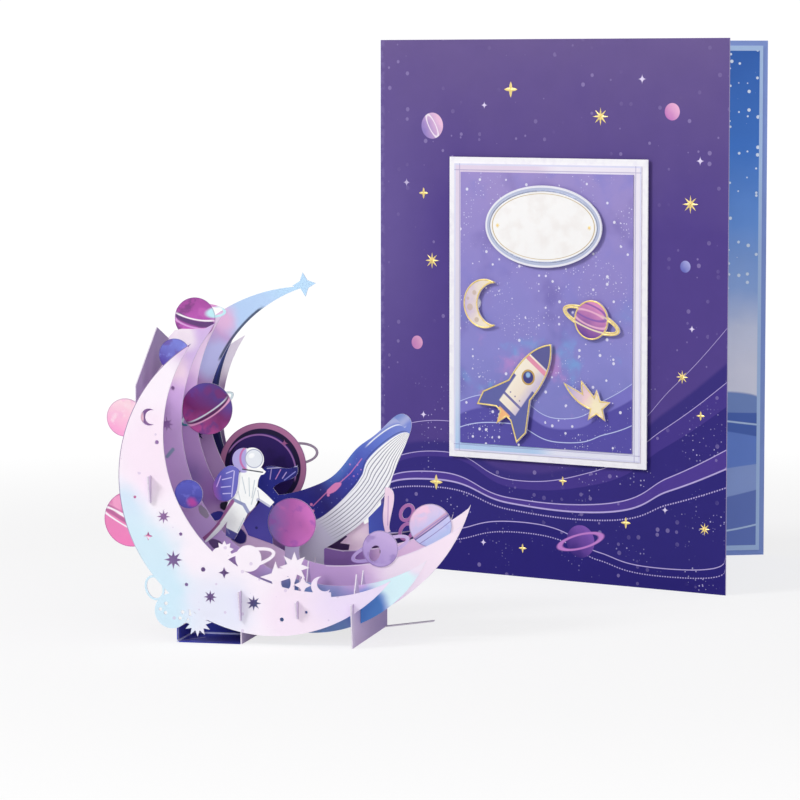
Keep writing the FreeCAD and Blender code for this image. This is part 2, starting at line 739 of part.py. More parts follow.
def astronaut():
    """A figure in a space suit, floating, with a plain closed visor; its rear foot is glued on."""
    place = lambda points: moved(points, astronaut_anchor())
    helmet = [disc(at, 4.0) for at in place([(11.6, 22.1), (8.6, 21.9)])]
    torso = outline(place([(5.0, 12.5), (4.0, 8.5), (4.6, 4.4)]), place([(7.5, 2.5)]),
                    place([(10.9, 4.4), (13.4, 8.2), (13.4, 12.0), (14.9, 17.2)]), place([(11.0, 20.0)]),
                    place([(7.6, 18.6)]))
    front_leg = outline(place([(2.4, -0.9), (2.2, -4.4)]), place([(5.2, -5.4)]), place([(6.8, -2.5)]),
                        place([(9.8, 3.5), (11.5, 7.5)]), place([(4.2, 6.0)]))
    rear_leg = outline(place([(1.7, -0.6), (-4.9, -6.7)]), place([(-6.0, -5.0)]),
                       place([(-0.2, 0.9), (2.4, 5.5)]), place([(3.8, 9.0)]), place([(5.5, 6.5)]))
    arm = outline(place([(14.2, 7.9), (17.5, 5.9)]), place([(19.2, 7.7)]),
                  place([(16.4, 10.3), (13.2, 12.9)]), place([(11.5, 9.5)]))
    far_hand = polygon(place([(13.0, 19.4), (14.8, 19.3), (16.3, 18.0), (15.6, 17.1), (13.6, 16.6)]))
    return joined(helmet + [torso, front_leg, rear_leg, arm, far_hand])


def astronaut_pack():
    place = lambda points: moved(points, astronaut_anchor())
    return outline(place([(3.6, 19.8), (-0.4, 16.6), (-2.1, 12.6), (-1.1, 9.0), (2.0, 7.7)]),
                   place([(5.2, 9.4), (6.6, 13.6), (7.2, 18.4)]))


def make_figures():
    save("whale", upright(whale(), before(FOURTH), POP_PAPER))
    save("whale_flipper", upright(whale_flipper(), before(FOURTH, 2), POP_PAPER))
    save("astronaut", upright(astronaut(), before(SECOND), POP_PAPER))
    save("astronaut_pack", upright(astronaut_pack(), before(SECOND, 2), POP_PAPER))
    burst_at = FOURTH.inner.at(276.5, -12.0)
    burst = joined([star(burst_at, 7.5, 4.6, 10), stem(FOURTH, burst_at, STEM_WIDTH)])
    save("starburst", upright(burst, FOURTH.back, POP_PAPER))
    corner = THIRD.inner.at(227.0)
    panel_face = polygon(moved([(1.2, -4.3), (9.8, -7.1), (9.8, 6.2), (5.9, 7.8), (2.3, 3.8),
                                (-0.7, -0.4)], corner))
    room = disc(rose_place(), PLANET_RADII["planet_rose"] + SLOT_CLEARANCE)
    save("night_panel", upright(panel_face.cut(room), before(THIRD), POP_PAPER))


def main():
    os.makedirs("parts", exist_ok=True)
    make_card()
    make_crescents()
    save("rib_left", left_rib())
    save("rib_middle", middle_rib())
    save("rib_foot", foot_rib())
    save("rib_waist", waist_rib())
    save("rib_shoulder", shoulder_rib())
    save("base_tray", tray())
    save("table_strip", table_strip())
    make_planets()
    make_figures()


main()
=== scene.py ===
import math

import bpy
import numpy as np
from bpy.props import FloatProperty, FloatVectorProperty, PointerProperty
from bpy.types import Operator, Panel, PropertyGroup
from mathutils import Matrix, Vector


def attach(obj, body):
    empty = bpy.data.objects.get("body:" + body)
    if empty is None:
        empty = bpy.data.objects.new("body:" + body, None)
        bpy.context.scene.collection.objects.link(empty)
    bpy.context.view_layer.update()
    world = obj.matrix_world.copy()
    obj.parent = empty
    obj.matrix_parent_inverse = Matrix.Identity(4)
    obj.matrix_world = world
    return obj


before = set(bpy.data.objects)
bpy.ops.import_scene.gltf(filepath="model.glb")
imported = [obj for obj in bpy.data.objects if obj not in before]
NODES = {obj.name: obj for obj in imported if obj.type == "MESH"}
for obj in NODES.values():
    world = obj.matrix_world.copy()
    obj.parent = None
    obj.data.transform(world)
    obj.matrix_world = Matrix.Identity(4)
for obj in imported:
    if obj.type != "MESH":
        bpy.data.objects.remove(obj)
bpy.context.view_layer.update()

bl_info = {
    "name": "Pop up card finishes",
    "version": (1, 0, 0),
    "blender": (4, 5, 0),
    "location": "3D View > Sidebar > Pop up card",
    "description": "Printed papers, foils and studio for a folded card and its moon shaped pop up",
    "category": "Object",
}

MM = 0.001

# Places on the sheets, in millimetres: the fold of the card and half its opening
SPINE = (-47.0, 77.2)
HALF_OPENING = math.radians(22.3)
CARD_WIDTH = 155.0
CARD_HEIGHT = 205.0
COVER_FACE = 0.5
BADGE_FACE = 4.9

# The circles that bound each crescent: middle and radius of the outer and the inner one
OUTER = {1: (-38.3, 56.2, 53.0), 2: (-36.3, 58.2, 55.0), 3: (-34.3, 60.2, 57.0),
         4: (-32.3, 61.4, 58.2), 5: (-36.2, 58.2, 55.0), 6: (-35.5, 55.2, 52.0)}
INNER = {1: (-22.0, 70.5, 53.6), 2: (-17.5, 73.9, 54.4), 3: (-15.0, 79.0, 54.7),
         4: (-18.6, 71.6, 50.1), 5: (-18.0, 77.5, 49.4), 6: (-20.0, 74.0, 48.3)}
WHALE_LEAN = math.radians(42.0)
# The larger circles that bound the lower part of three inner edges, from one place across to another
SILLS = {3: (((-21.7, 100.0, 75.0), -24.0, 30.0),),
         4: (((-14.3, 83.0, 54.4), -60.0, -20.0), ((-21.3, 101.4, 72.4), -20.0, 30.0)),
         5: (((-15.0, 113.5, 80.0), -60.0, 30.0),)}


def ink(red, green, blue):
    """A printed colour from its usual 0 to 255 values, as the linear values a shader takes."""
    scaled = [level / 255 for level in (red, green, blue)]
    return tuple(c / 12.92 if c <= 0.04045 else ((c + 0.055) / 1.055) ** 2.4 for c in scaled) + (1.0,)


def shown(colour):
    """A shader's colour from an ink's three levels. Anything else is taken as it is."""
    return ink(*colour) if isinstance(colour, tuple) and len(colour) == 3 else colour


def around(circle, angle, beyond=0.0):
    """The place at this angle in degrees, this far beyond a circle."""
    x, z, radius = circle
    turn = math.radians(angle)
    return (x + (radius + beyond) * math.cos(turn), z + (radius + beyond) * math.sin(turn))


# Shader arithmetic

class Value:
    """A socket whose value varies over a surface, with arithmetic on it."""

    def __init__(self, sheet, socket):
        self.sheet = sheet
        self.socket = socket

    def math(self, operation, *others, clamp=False):
        values = dict(enumerate((self,) + others))
        return self.sheet.node("Math", {"operation": operation, "use_clamp": clamp}, values)

    def __add__(self, other):
        return self.math("ADD", other)

    def __sub__(self, other):
        return self.math("SUBTRACT", other)

    def __mul__(self, other):
        return self.math("MULTIPLY", other)

    def __truediv__(self, other):
        return self.math("DIVIDE", other)

    def __rsub__(self, other):
        return self.sheet.node("Math", {"operation": "SUBTRACT"}, {0: other, 1: self})

    __radd__ = __add__
    __rmul__ = __mul__

    def __abs__(self):
        return self.math("ABSOLUTE")

    def __pow__(self, power):
        return self.math("POWER", power)

    def above(self, limit, soft=0.08):
        """1 where the value is above the limit, going over softly."""
        return self.fade(limit - soft, limit + soft)

    def below(self, limit, soft=0.08):
        return self.fade(limit - soft, limit + soft, 1.0, 0.0)

    def near(self, middle, half, soft=0.08):
        """1 where the value is within half of the middle."""
        return abs(self - middle).below(half, soft)

    def most(self, other):
        return self.math("MAXIMUM", other)

    def fade(self, start, end, low=0.0, high=1.0):
        """Goes smoothly from low to high while the value goes from start to end."""
        values = {0: self, 1: start, 2: end, 3: low, 4: high}
        return self.sheet.node("MapRange", {"interpolation_type": "SMOOTHSTEP"}, values)

    def ramp(self, *stops):
        """A colour from stops of (value, colour), first to last."""
        first, last = stops[0][0], stops[-1][0]
        span = last - first
        even = self.sheet.node("MapRange", {}, {0: self, 1: first, 2: last})
        places = [((at - first) / span, shown(colour)) for at, colour in stops]
        return self.sheet.node("ValToRGB", {"stops": places}, {0: even})

    def curve(self, points):
        """A height read off a smooth curve through points of (value, height)."""
        table = np.array(points, float)
        low, high = table.min(axis=0), table.max(axis=0)
        span = high - low
        even = self.sheet.node("MapRange", {}, {0: self, 1: low[0], 2: high[0]})
        places = (table - low) / span
        return self.sheet.node("FloatCurve", {"points": places}, {1: even}) * span[1] + low[1]


class Sheet:
    """The finish of one sheet: places on it in millimetres, shapes, ink laid over ink, paper.

    place is (across, up, 0) in the sheet's own plane, and facing is 1 on its front, -1 on its back
    and 0 on its cut edges.
    """

    def __init__(self, name, across=(1, 0, 0), up=(0, 0, 1), origin=(0, 0, 0)):
        self.material = bpy.data.materials.new(name)
        self.material.use_nodes = True
        self.tree = self.material.node_tree
        self.tree.nodes.clear()
        out = Vector(across).cross(Vector(up))
        turn = Matrix((across, up, out))
        shift = turn @ Vector(origin) * -1
        coordinates = self.node("TexCoord", {}, {}, "Object")
        self.solid = self.node("Mapping", {}, {0: coordinates, 1: shift, 2: turn.to_euler(),
                                               3: (1 / MM, 1 / MM, 1 / MM)})
        self.place = self.vector("MULTIPLY", self.solid, (1, 1, 0))
        self.across, self.up, self.out = self.parts(self.solid)
        self.normal = self.node("TexCoord", {}, {}, "Normal")
        self.facing = self.towards(out)
        self.edge = abs(self.facing).below(0.5, 0.1)
        self.colour = None

    def node(self, kind, settings=None, values=None, output=0):
        """Any node: its type, its settings first, then the values or links of its sockets."""
        node = self.tree.nodes.new("ShaderNode" + kind)
        for name, setting in (settings or {}).items():
            if name == "stops":
                elements = node.color_ramp.elements
                while len(elements) < len(setting):
                    elements.new(0.5)
                for element, (at, colour) in zip(elements, setting):
                    element.position = at
                    element.color = colour
            elif name == "points":
                points = node.mapping.curves[0].points
                while len(points) < len(setting):
                    points.new(0.5, 0.5)
                for point, at in zip(points, setting):
                    point.location = at
                node.mapping.update()
            else:
                setattr(node, name, setting)
        for key, value in (values or {}).items():
            if isinstance(value, Value):
                self.tree.links.new(value.socket, node.inputs[key])
            else:
                node.inputs[key].default_value = value
        return Value(self, node.outputs[output]) if node.outputs else None

    def vector(self, operation, first, second):
        return self.node("VectorMath", {"operation": operation}, {0: first, 1: second})

    def parts(self, vector):
        split = self.node("SeparateXYZ", {}, {0: vector}).socket.node
        return [Value(self, socket) for socket in split.outputs]

    def towards(self, direction):
        """1 where the surface faces this direction, -1 where it faces away from it."""
        return self.node("VectorMath", {"operation": "DOT_PRODUCT"}, {0: self.normal, 1: direction}, "Value")

    def lay(self, under, over, mask):
        """Ink over ink where the mask is 1."""
        return self.node("Mix", {"data_type": "RGBA"}, {0: mask, 6: shown(under), 7: shown(over)}, 2)

    def over(self, colour, mask):
        """Prints an ink on what the sheet shows so far, where the mask is 1."""
        self.colour = self.lay(self.colour, colour, mask)

    def draw(self, shape, *rows):
        """Prints shapes of one kind, each from a row of its ink, its strength and its measures."""
        for colour, strength, *measures in rows:
            self.over(colour, shape(*measures) * strength)

    def grain(self, size, detail=3.0, place=None):
        """Mottling from 0 to 1, with features of this size in millimetres."""
        return self.node("TexNoise", {"noise_dimensions": "3D"},
                         {"Vector": place or self.solid, "Scale": 1 / size, "Detail": detail})

    def loosened(self, amount, size):
        """The place shifted about by amount millimetres, so that edges wander as wet ink does."""
        noise = self.node("TexNoise", {}, {"Vector": self.solid, "Scale": 1 / size, "Detail": 2.0}, 1)
        shift = self.vector("MULTIPLY", self.vector("SUBTRACT", noise, (0.5, 0.5, 0.5)),
                            (2 * amount, 2 * amount, 0))
        return self.vector("ADD", self.place, shift)

    def distance(self, at, place=None):
        return self.node("VectorMath", {"operation": "DISTANCE"},
                         {0: place or self.place, 1: (at[0], at[1], 0)}, "Value")

    def disc(self, at, radius, soft=0.08, place=None):
        return self.distance(at, place).below(radius, soft)

    def oval(self, at, half_width, half_height, lean=0.0, place=None):
        """How far out a place is, as a share of an oval's radius: 1 on the oval."""
        local = self.node("Mapping", {"vector_type": "TEXTURE"},
                          {0: place or self.place, 1: (at[0], at[1], 0),
                           2: (0, 0, math.radians(lean)), 3: (half_width, half_height, 1)})
        return self.node("VectorMath", {"operation": "LENGTH"}, {0: local}, "Value")

    def oval_line(self, at, half_width, half_height, lean, line):
        share = line / (2 * half_height)
        return self.oval(at, half_width, half_height, lean).near(1.0, share, share * 0.5)

    def circle_line(self, circle, line, beyond=0.0):
        return self.distance(circle[:2]).near(circle[2] + beyond, line / 2, line / 4)

    def stroke(self, start, end, width, soft=0.08):
        """A straight stroke with round ends: distance to the nearest place on its middle line."""
        start, end = Vector(start).to_3d(), Vector(end).to_3d()
        run = end - start
        away = self.vector("SUBTRACT", self.place, start)
        along = self.node("VectorMath", {"operation": "DOT_PRODUCT"},
                          {0: away, 1: run / run.length_squared}, "Value").math("ADD", 0.0, clamp=True)
        nearest = self.node("VectorMath", {"operation": "SCALE"}, {0: run, "Scale": along})
        gap = self.node("VectorMath", {"operation": "DISTANCE"}, {0: away, 1: nearest}, "Value")
        return gap.below(width / 2, soft)

    def specks(self, size, share, place=None):
        """Fine dots of uneven size, one to a cell, in this share of the cells."""
        cell = self.node("TexVoronoi", {"voronoi_dimensions": "2D"},
                         {"Vector": place or self.place, "Scale": 1 / size}).socket.node
        distance = Value(self, cell.outputs["Distance"])
        chance = self.node("SeparateColor", {}, {0: Value(self, cell.outputs["Color"])})
        size_here = chance.fade(1 - share, 1.0, 0.0, 0.22)
        return (distance - size_here).below(-0.02, 0.02)

    def finish(self, roughness=0.55, tooth=0.02, tooth_size=0.35, core=None, coat=0.0, mottle=0.06,
               sheen=0.3):
        """Paper under the ink: colour mottled by fibres, a pale cut edge, fine tooth, uneven gloss."""
        papers = bpy.context.scene.card_papers
        fibres = self.grain(tooth_size, 4.0)
        clouds = self.grain(9.0, 2.0)
        shade = (fibres * mottle + clouds * mottle) + (1.0 - mottle)
        tinted = self.node("VectorMath", {"operation": "SCALE"}, {0: self.colour, "Scale": shade})
        if core is None:
            core = tuple(papers.core_colour) + (1.0,)
        core = self.lay(core, (205, 195, 215), self.grain(0.5, 2.0).fade(0.4, 0.7, 0.0, 0.5))
        colour = self.lay(tinted, core, self.edge)
        gloss = fibres.fade(0.3, 0.7, roughness - 0.06, roughness + 0.08)
        return self.surface(colour, gloss, fibres, papers.tooth_strength, tooth, {
            "Coat Weight": coat, "Coat Roughness": 0.25, "Specular IOR Level": sheen})

    def surface(self, colour, roughness, height, strength, depth, others=None):
        """The material itself, with a bump of this depth in millimetres."""
        bump = self.node("Bump", {}, {"Strength": strength, "Distance": depth * MM, "Height": height})
        values = {"Base Color": colour, "Roughness": roughness, "Normal": bump, **(others or {})}
        self.node("OutputMaterial", {}, {0: self.node("BsdfPrincipled", {}, values)})
        return self.material


def cover_sheet(name):
    """A finish laid out on the cover: across from the fold to the free edge, up from its foot."""
    cosine, sine = math.cos(HALF_OPENING), math.sin(HALF_OPENING)
    return Sheet(name, (cosine, -sine, 0), (0, 0, 1), (SPINE[0], SPINE[1], 0))


def rib_sheet(name):
    """A finish laid out on a sheet that runs away from the viewer."""
    return Sheet(name, (0, 1, 0), (0, 0, 1))


def tray_sheet(name):
    """A finish laid out on a sheet that lies on the table."""
    return Sheet(name, (1, 0, 0), (0, 1, 0))


def dress(name, material, slot):
    """Gives a carried-over piece its material, in every slot that it has."""
    piece = NODES[name]
    piece.data.materials.clear()
    piece.data.materials.append(material)


# New surfaces worked out as arrays

def add_piece(name, vertices, faces, material, smooth=False):
    """Puts an array of places in millimetres and lists of faces into a mesh that rides on the card."""
    mesh = bpy.data.meshes.new(name)
    mesh.from_pydata((vertices * MM).tolist(), [], faces)
    mesh.update()
    if smooth:
        mesh.shade_smooth()
    piece = bpy.data.objects.new(name, mesh)
    bpy.context.scene.collection.objects.link(piece)
    mesh.materials.append(material)
    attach(piece, "root")


def grid_faces(rows, columns, start=0, closed_rows=False):
    """Four sided faces over a grid of rows and columns whose columns close on themselves."""
    row = np.arange(rows if closed_rows else rows - 1)[:, None]
    column = np.arange(columns)[None, :]
    ahead = (row + 1) % rows
    beside = (column + 1) % columns
    corners = [row * columns + column, row * columns + beside, ahead * columns + beside,
               ahead * columns + column]
    return np.stack([c.ravel() for c in corners], axis=1) + start


def on_cover(across, up, lift):
    """Places on the cover's plane, this far out from the back of the cover sheet."""
    cosine, sine = math.cos(HALF_OPENING), math.sin(HALF_OPENING)
    x = SPINE[0] + across * cosine - lift * sine
    y = SPINE[1] - across * sine - lift * cosine
    return np.stack([x, y, up], axis=-1)


def foil_stars(name, places, ground, rise, material):
    """Raised foil stars: in rings from the middle out, the edge is the waist plus the reach times a
    sharp peak at each point, and the height falls from the rise at the middle to nothing at the edge,
    with a ridge along each point."""
    rings, steps, bury = 5, 48, 0.05
    share = np.linspace(0, 1, rings)[1:, None]
    angle = np.linspace(0, 2 * math.pi, steps, endpoint=False)[None, :]
    ring = np.arange(steps)
    beside = (ring + 1) % steps
    vertices, faces = [], []
    count = 0
    for across, up, reach, points in places:
        swing = np.abs(((angle - math.pi / 2) * points / (2 * math.pi) + 0.5) % 1.0 - 0.5) * 2
        long_ones = np.cos((angle - math.pi / 2) * points / 2) ** 2 if points > 4 else np.ones_like(angle)
        edge = reach * (0.33 + 0.67 * (1 - swing) ** 1.9 * (0.6 + 0.4 * long_ones))
        a = across + share * edge * np.cos(angle)
        u = up + share * edge * np.sin(angle)
        height = rise * (1 - share) * (0.55 + 0.45 * (1 - swing)) + 0.02
        top = on_cover(a, u, ground + height).reshape(-1, 3)
        foot = on_cover(a[-1], u[-1], np.full(steps, ground - bury))
        hubs = on_cover(np.full(2, across), np.full(2, up), ground + np.array([rise + 0.02, -bury]))
        last = count + len(top)
        hub = last + steps
        cap = np.stack([np.full(steps, hub), count + ring, count + beside], axis=1)
        base = np.stack([np.full(steps, hub + 1), last + beside, last + ring], axis=1)
        vertices.append(np.concatenate([top, foot, hubs]))
        faces += grid_faces(rings, steps, count)[:, ::-1].tolist() + cap.tolist() + base.tolist()
        count = hub + 2
    add_piece(name, np.concatenate(vertices), faces, material)


def outline_runs(node, out):
    """The closed outlines of a sheet's outermost face, in millimetres, each in walking order.

    A side of a front triangle that no other front triangle shares lies on the outline.
    """
    mesh = NODES[node].data
    places = np.zeros(len(mesh.vertices) * 3, np.float32)
    mesh.vertices.foreach_get("co", places)
    corners = np.zeros(len(mesh.loops), np.int32)
    mesh.loops.foreach_get("vertex_index", corners)
    merged, index = np.unique(np.round(places.reshape(-1, 3) / MM, 3), axis=0, return_inverse=True)
    triangles = index.ravel()[corners.reshape(-1, 3)]
    a, b, c = (merged[triangles[:, i]] for i in range(3))
    normals = np.cross(b - a, c - a)
    length = np.linalg.norm(normals, axis=1)
    front = triangles[(normals @ out) > 0.9 * np.maximum(length, 1e-9)]
    sides = np.concatenate([front[:, [0, 1]], front[:, [1, 2]], front[:, [2, 0]]])
    known = set(map(tuple, sides.tolist()))
    following = {start: end for start, end in sides.tolist() if (end, start) not in known}
    runs = []
    while following:
        start, at = following.popitem()
        run = [start]
        while at != start and at in following:
            run.append(at)
            at = following.pop(at)
        runs.append(merged[run])
    return runs


def foil_line(name, nodes, out, width, rise, inset, material):
    """A raised line just inside the outline of each sheet: a half round profile carried along the
    outline. At each corner the profile lies along the mean of the two sides' inward directions."""
    out = np.array(out, float)
    profile_across = np.array([0.0, 0.15, 0.5, 0.85, 1.0]) * width + inset
    profile_up = np.array([-0.03, 0.7, 1.0, 0.7, -0.03]) * rise
    vertices, faces = [], []
    count = 0
    for node in nodes:
        for run in outline_runs(node, out):
            keep = np.linalg.norm(run - np.roll(run, 1, axis=0), axis=1) > 0.02
            run = run[keep]
            if len(run) < 3:
                continue
            ahead = np.roll(run, -1, axis=0) - run
            ahead /= np.linalg.norm(ahead, axis=1)[:, None]
            inward = np.cross(out, ahead)
            before = np.roll(inward, 1, axis=0)
            mean = inward + before
            mean /= np.maximum((mean * inward).sum(axis=1), 0.45)[:, None]
            rows = run[None] + profile_across[:, None, None] * mean[None] + profile_up[:, None, None] * out
            vertices.append(rows.reshape(-1, 3))
            faces += grid_faces(len(profile_up), len(run), count, closed_rows=True)[:, ::-1].tolist()
            count += rows.shape[0] * rows.shape[1]
    add_piece(name, np.concatenate(vertices), faces, material, smooth=True)


# What a user would change

def colour_property(name, description, red, green, blue):
    return FloatVectorProperty(name=name, description=description, subtype="COLOR", size=3, min=0, max=1,
                               default=ink(red, green, blue)[:3])


def length_property(name, description, low, high, default):
    return FloatProperty(name=name, description=description, unit="LENGTH", min=low, max=high,
                         default=default)


def power_property(name, description, default):
    return FloatProperty(name=name, description=description, unit="POWER", min=0, max=500, default=default)


class CardPapers(PropertyGroup):
    core_colour: colour_property("Paper core", "Colour of the paper where it is cut", 238, 230, 242)
    tooth_strength: FloatProperty(
        name="Paper tooth", description="How strongly the grain of the paper shows", subtype="FACTOR",
        min=0, max=1, default=0.35)
    cover_top: colour_property("Cover at the top", "Ink at the top of the cover", 108, 90, 145)
    cover_middle: colour_property("Cover in the middle", "Ink half way up the cover", 82, 64, 138)
    cover_foot: colour_property("Cover at the foot", "Ink along the foot of the cover", 36, 26, 114)
    rib_colour: colour_property("Ribs", "Ink on the ribs that hold the crescents", 204, 182, 220)


class CardFoils(PropertyGroup):
    gold: colour_property("Gold foil", "Colour of the stars and of the lines round the badges", 244, 218, 138)
    line_width: length_property("Line width", "Width of the foil line round each badge",
                                0.0001, 0.002, 0.00062)
    line_rise: length_property("Line rise", "How far the foil line stands up", 0.00002, 0.0005, 0.00014)
    star_rise: length_property("Star rise", "How far a foil star stands up in its middle",
                               0.00002, 0.0006, 0.00022)


class CardStudio(PropertyGroup):
    camera_place: FloatVectorProperty(
        name="Camera place", description="Where the camera stands", subtype="TRANSLATION",
        unit="LENGTH", size=3, default=(0.2660, -1.3137, 0.1922))
    camera_turn: FloatVectorProperty(
        name="Camera turn", description="How the camera is turned", subtype="EULER",
        unit="ROTATION", size=3, default=(math.radians(84.8845), 0.0, math.radians(12.4)))
    lens: FloatProperty(
        name="Lens", description="Focal length on a 36 mm wide sensor", unit="CAMERA",
        min=10, max=400, default=164.35)
    key_power: power_property("Key lamp", "Power of the lamp at the left", 15.7)
    fill_power: power_property("Fill lamp", "Power of the wide lamp in front", 9.9)
    side_power: power_property("Side lamp", "Power of the soft lamp at the right", 2.6)
    sky_strength: FloatProperty(
        name="Room light", description="Strength of the even light all round", min=0, max=2,
        default=0.35)


# The stage

class CARD_OT_stage(Operator):
    """Camera, floor that sweeps up behind, soft lamps and even room light"""
    bl_idname = "pop_up_card.stage"
    bl_label = "Stage"

    def execute(self, context):
        studio = context.scene.card_studio
        scene = context.scene
        scene.view_settings.view_transform = "Standard"
        camera = bpy.data.objects.new("camera", bpy.data.cameras.new("camera"))
        camera.location = studio.camera_place
        camera.rotation_euler = studio.camera_turn
        camera.data.lens = studio.lens
        camera.data.sensor_width = 36.0
        camera.data.clip_end = 20.0
        scene.collection.objects.link(camera)
        scene.camera = camera
        self.lamp(scene, "key", (-1.15, -1.0, 1.05), studio.key_power, 0.45)
        self.lamp(scene, "fill", (0.75, -1.9, 0.9), studio.fill_power, 1.4)
        self.lamp(scene, "side", (1.4, -0.35, 0.7), studio.side_power, 0.9)
        self.room(scene, studio.sky_strength)
        self.floor()
        return {"FINISHED"}

    def lamp(self, scene, name, place, power, size):
        light = bpy.data.lights.new(name, "AREA")
        light.energy = power
        light.size = size
        lamp = bpy.data.objects.new(name, light)
        lamp.location = place
        towards = Vector((-0.01, -0.03, 0.08)) - Vector(place)
        lamp.rotation_euler = towards.to_track_quat("-Z", "Y").to_euler()
        scene.collection.objects.link(lamp)

    def room(self, scene, strength):
        """Even light, which the camera sees as white."""
        world = bpy.data.worlds.new("room")
        world.use_nodes = True
        tree = world.node_tree
        tree.nodes.clear()
        path = tree.nodes.new("ShaderNodeLightPath")
        seen = tree.nodes.new("ShaderNodeMath")
        seen.operation = "MAXIMUM"
        tree.links.new(path.outputs["Is Camera Ray"], seen.inputs[0])
        tree.links.new(path.outputs["Is Glossy Ray"], seen.inputs[1])
        level = tree.nodes.new("ShaderNodeMapRange")
        level.inputs[3].default_value = strength
        level.inputs[4].default_value = 1.0
        tree.links.new(seen.outputs[0], level.inputs[0])
        background = tree.nodes.new("ShaderNodeBackground")
        tree.links.new(level.outputs[0], background.inputs["Strength"])
        background.inputs["Color"].default_value = (1.0, 1.0, 1.0, 1.0)
        output = tree.nodes.new("ShaderNodeOutputWorld")
        tree.links.new(background.outputs[0], output.inputs[0])
        scene.world = world

    def floor(self):
        """A profile carried along X: flat towards the viewer, then a quarter circle up, then a wall."""
        bend = np.linspace(0, math.pi / 2, 24)
        along = np.concatenate([[-6.0, 2.5], 2.5 + 1.5 * np.sin(bend), [4.0]])
        rise = np.concatenate([[0.0, 0.0], 1.5 - 1.5 * np.cos(bend), [6.0]])
        left = np.stack([np.full_like(along, -6.0), along, rise], axis=1)
        right = left * (-1, 1, 1)
        count = len(along)
        row = np.arange(count - 1)
        faces = np.stack([row, row + count, row + count + 1, row + 1], axis=1)
        mesh = bpy.data.meshes.new("floor")
        mesh.from_pydata(np.concatenate([left, right]).tolist(), [], faces.tolist())
        mesh.shade_smooth()
        floor = bpy.data.objects.new("floor", mesh)
        bpy.context.scene.collection.objects.link(floor)
        sheet = Sheet("floor_paper")
        seen = sheet.node("LightPath", {}, {}, "Is Camera Ray").most(
            sheet.node("LightPath", {}, {}, "Is Glossy Ray"))
        far = sheet.node("VectorMath", {"operation": "LENGTH"}, {0: sheet.solid}, "Value")
        share = far.fade(200.0, 700.0, 0.72, 1.0) * seen
        plain = sheet.node("BsdfDiffuse", {}, {"Color": ink(242, 241, 243)})
        white = sheet.node("Emission", {}, {"Color": (1.0, 1.0, 1.0, 1.0), "Strength": 1.04})
        mixed = sheet.node("MixShader", {}, {0: share, 1: plain, 2: white})
        sheet.node("OutputMaterial", {}, {0: mixed})
        mesh.materials.append(sheet.material)


# The card

def flowing_bands(sheet, stations, line_colour, rows):
    """Bands of ink below curves, from rows of heights at the stations, ink, line width and softness:
    a line runs along the curve where it has a width."""
    for heights, over, width, softness in rows:
        height = sheet.up - sheet.across.curve(list(zip(stations, heights)))
        sheet.over(over, height.below(0.0, softness))
        if width:
            sheet.over(line_colour, height.near(0.0, width / 2, width / 4))


def flowing_lines(sheet, line_colour, rows):
    """Lines along curves, from rows of stations, heights, width and the length of a dash or 0."""
    for stations, heights, width, dash in rows:
        line = (sheet.up - sheet.across.curve(list(zip(stations, heights)))).near(0.0, width / 2, width / 4)
        if dash:
            line = line * (sheet.across / dash).math("FRACT").near(0.5, 0.28, 0.1)
        sheet.over(line_colour, line)


def printed_star(sheet, at, reach, over):
    """A small four pointed star: the root of the distance across plus the root of that up."""
    local = sheet.node("Mapping", {"vector_type": "TEXTURE"},
                       {0: sheet.place, 1: (at[0], at[1], 0), 3: (reach, reach, 1)})
    across, up, _ = sheet.parts(sheet.vector("ABSOLUTE", local, (0, 0, 0)))
    sheet.over(over, (across ** 0.5 + up ** 0.5).below(1.0, 0.06))


def printed_ball(sheet, at, radius, light, dark, lean=40.0, band=None):
    """A planet in print: light to dark across it, a mottled surface and a pale band."""
    turn = math.radians(lean)
    slope = sheet.across * math.cos(turn) + sheet.up * math.sin(turn)
    middle = at[0] * math.cos(turn) + at[1] * math.sin(turn)
    tone = slope + sheet.grain(radius * 0.8) * radius * 0.8
    body = tone.ramp((middle - radius * 0.5, dark), (middle + radius * 1.2, light))
    if band is not None:
        body = sheet.lay(body, band, sheet.oval(at, radius, radius * 0.3, lean - 90).near(1, 0.14, 0.1))
    sheet.over(body, sheet.disc(at, radius))


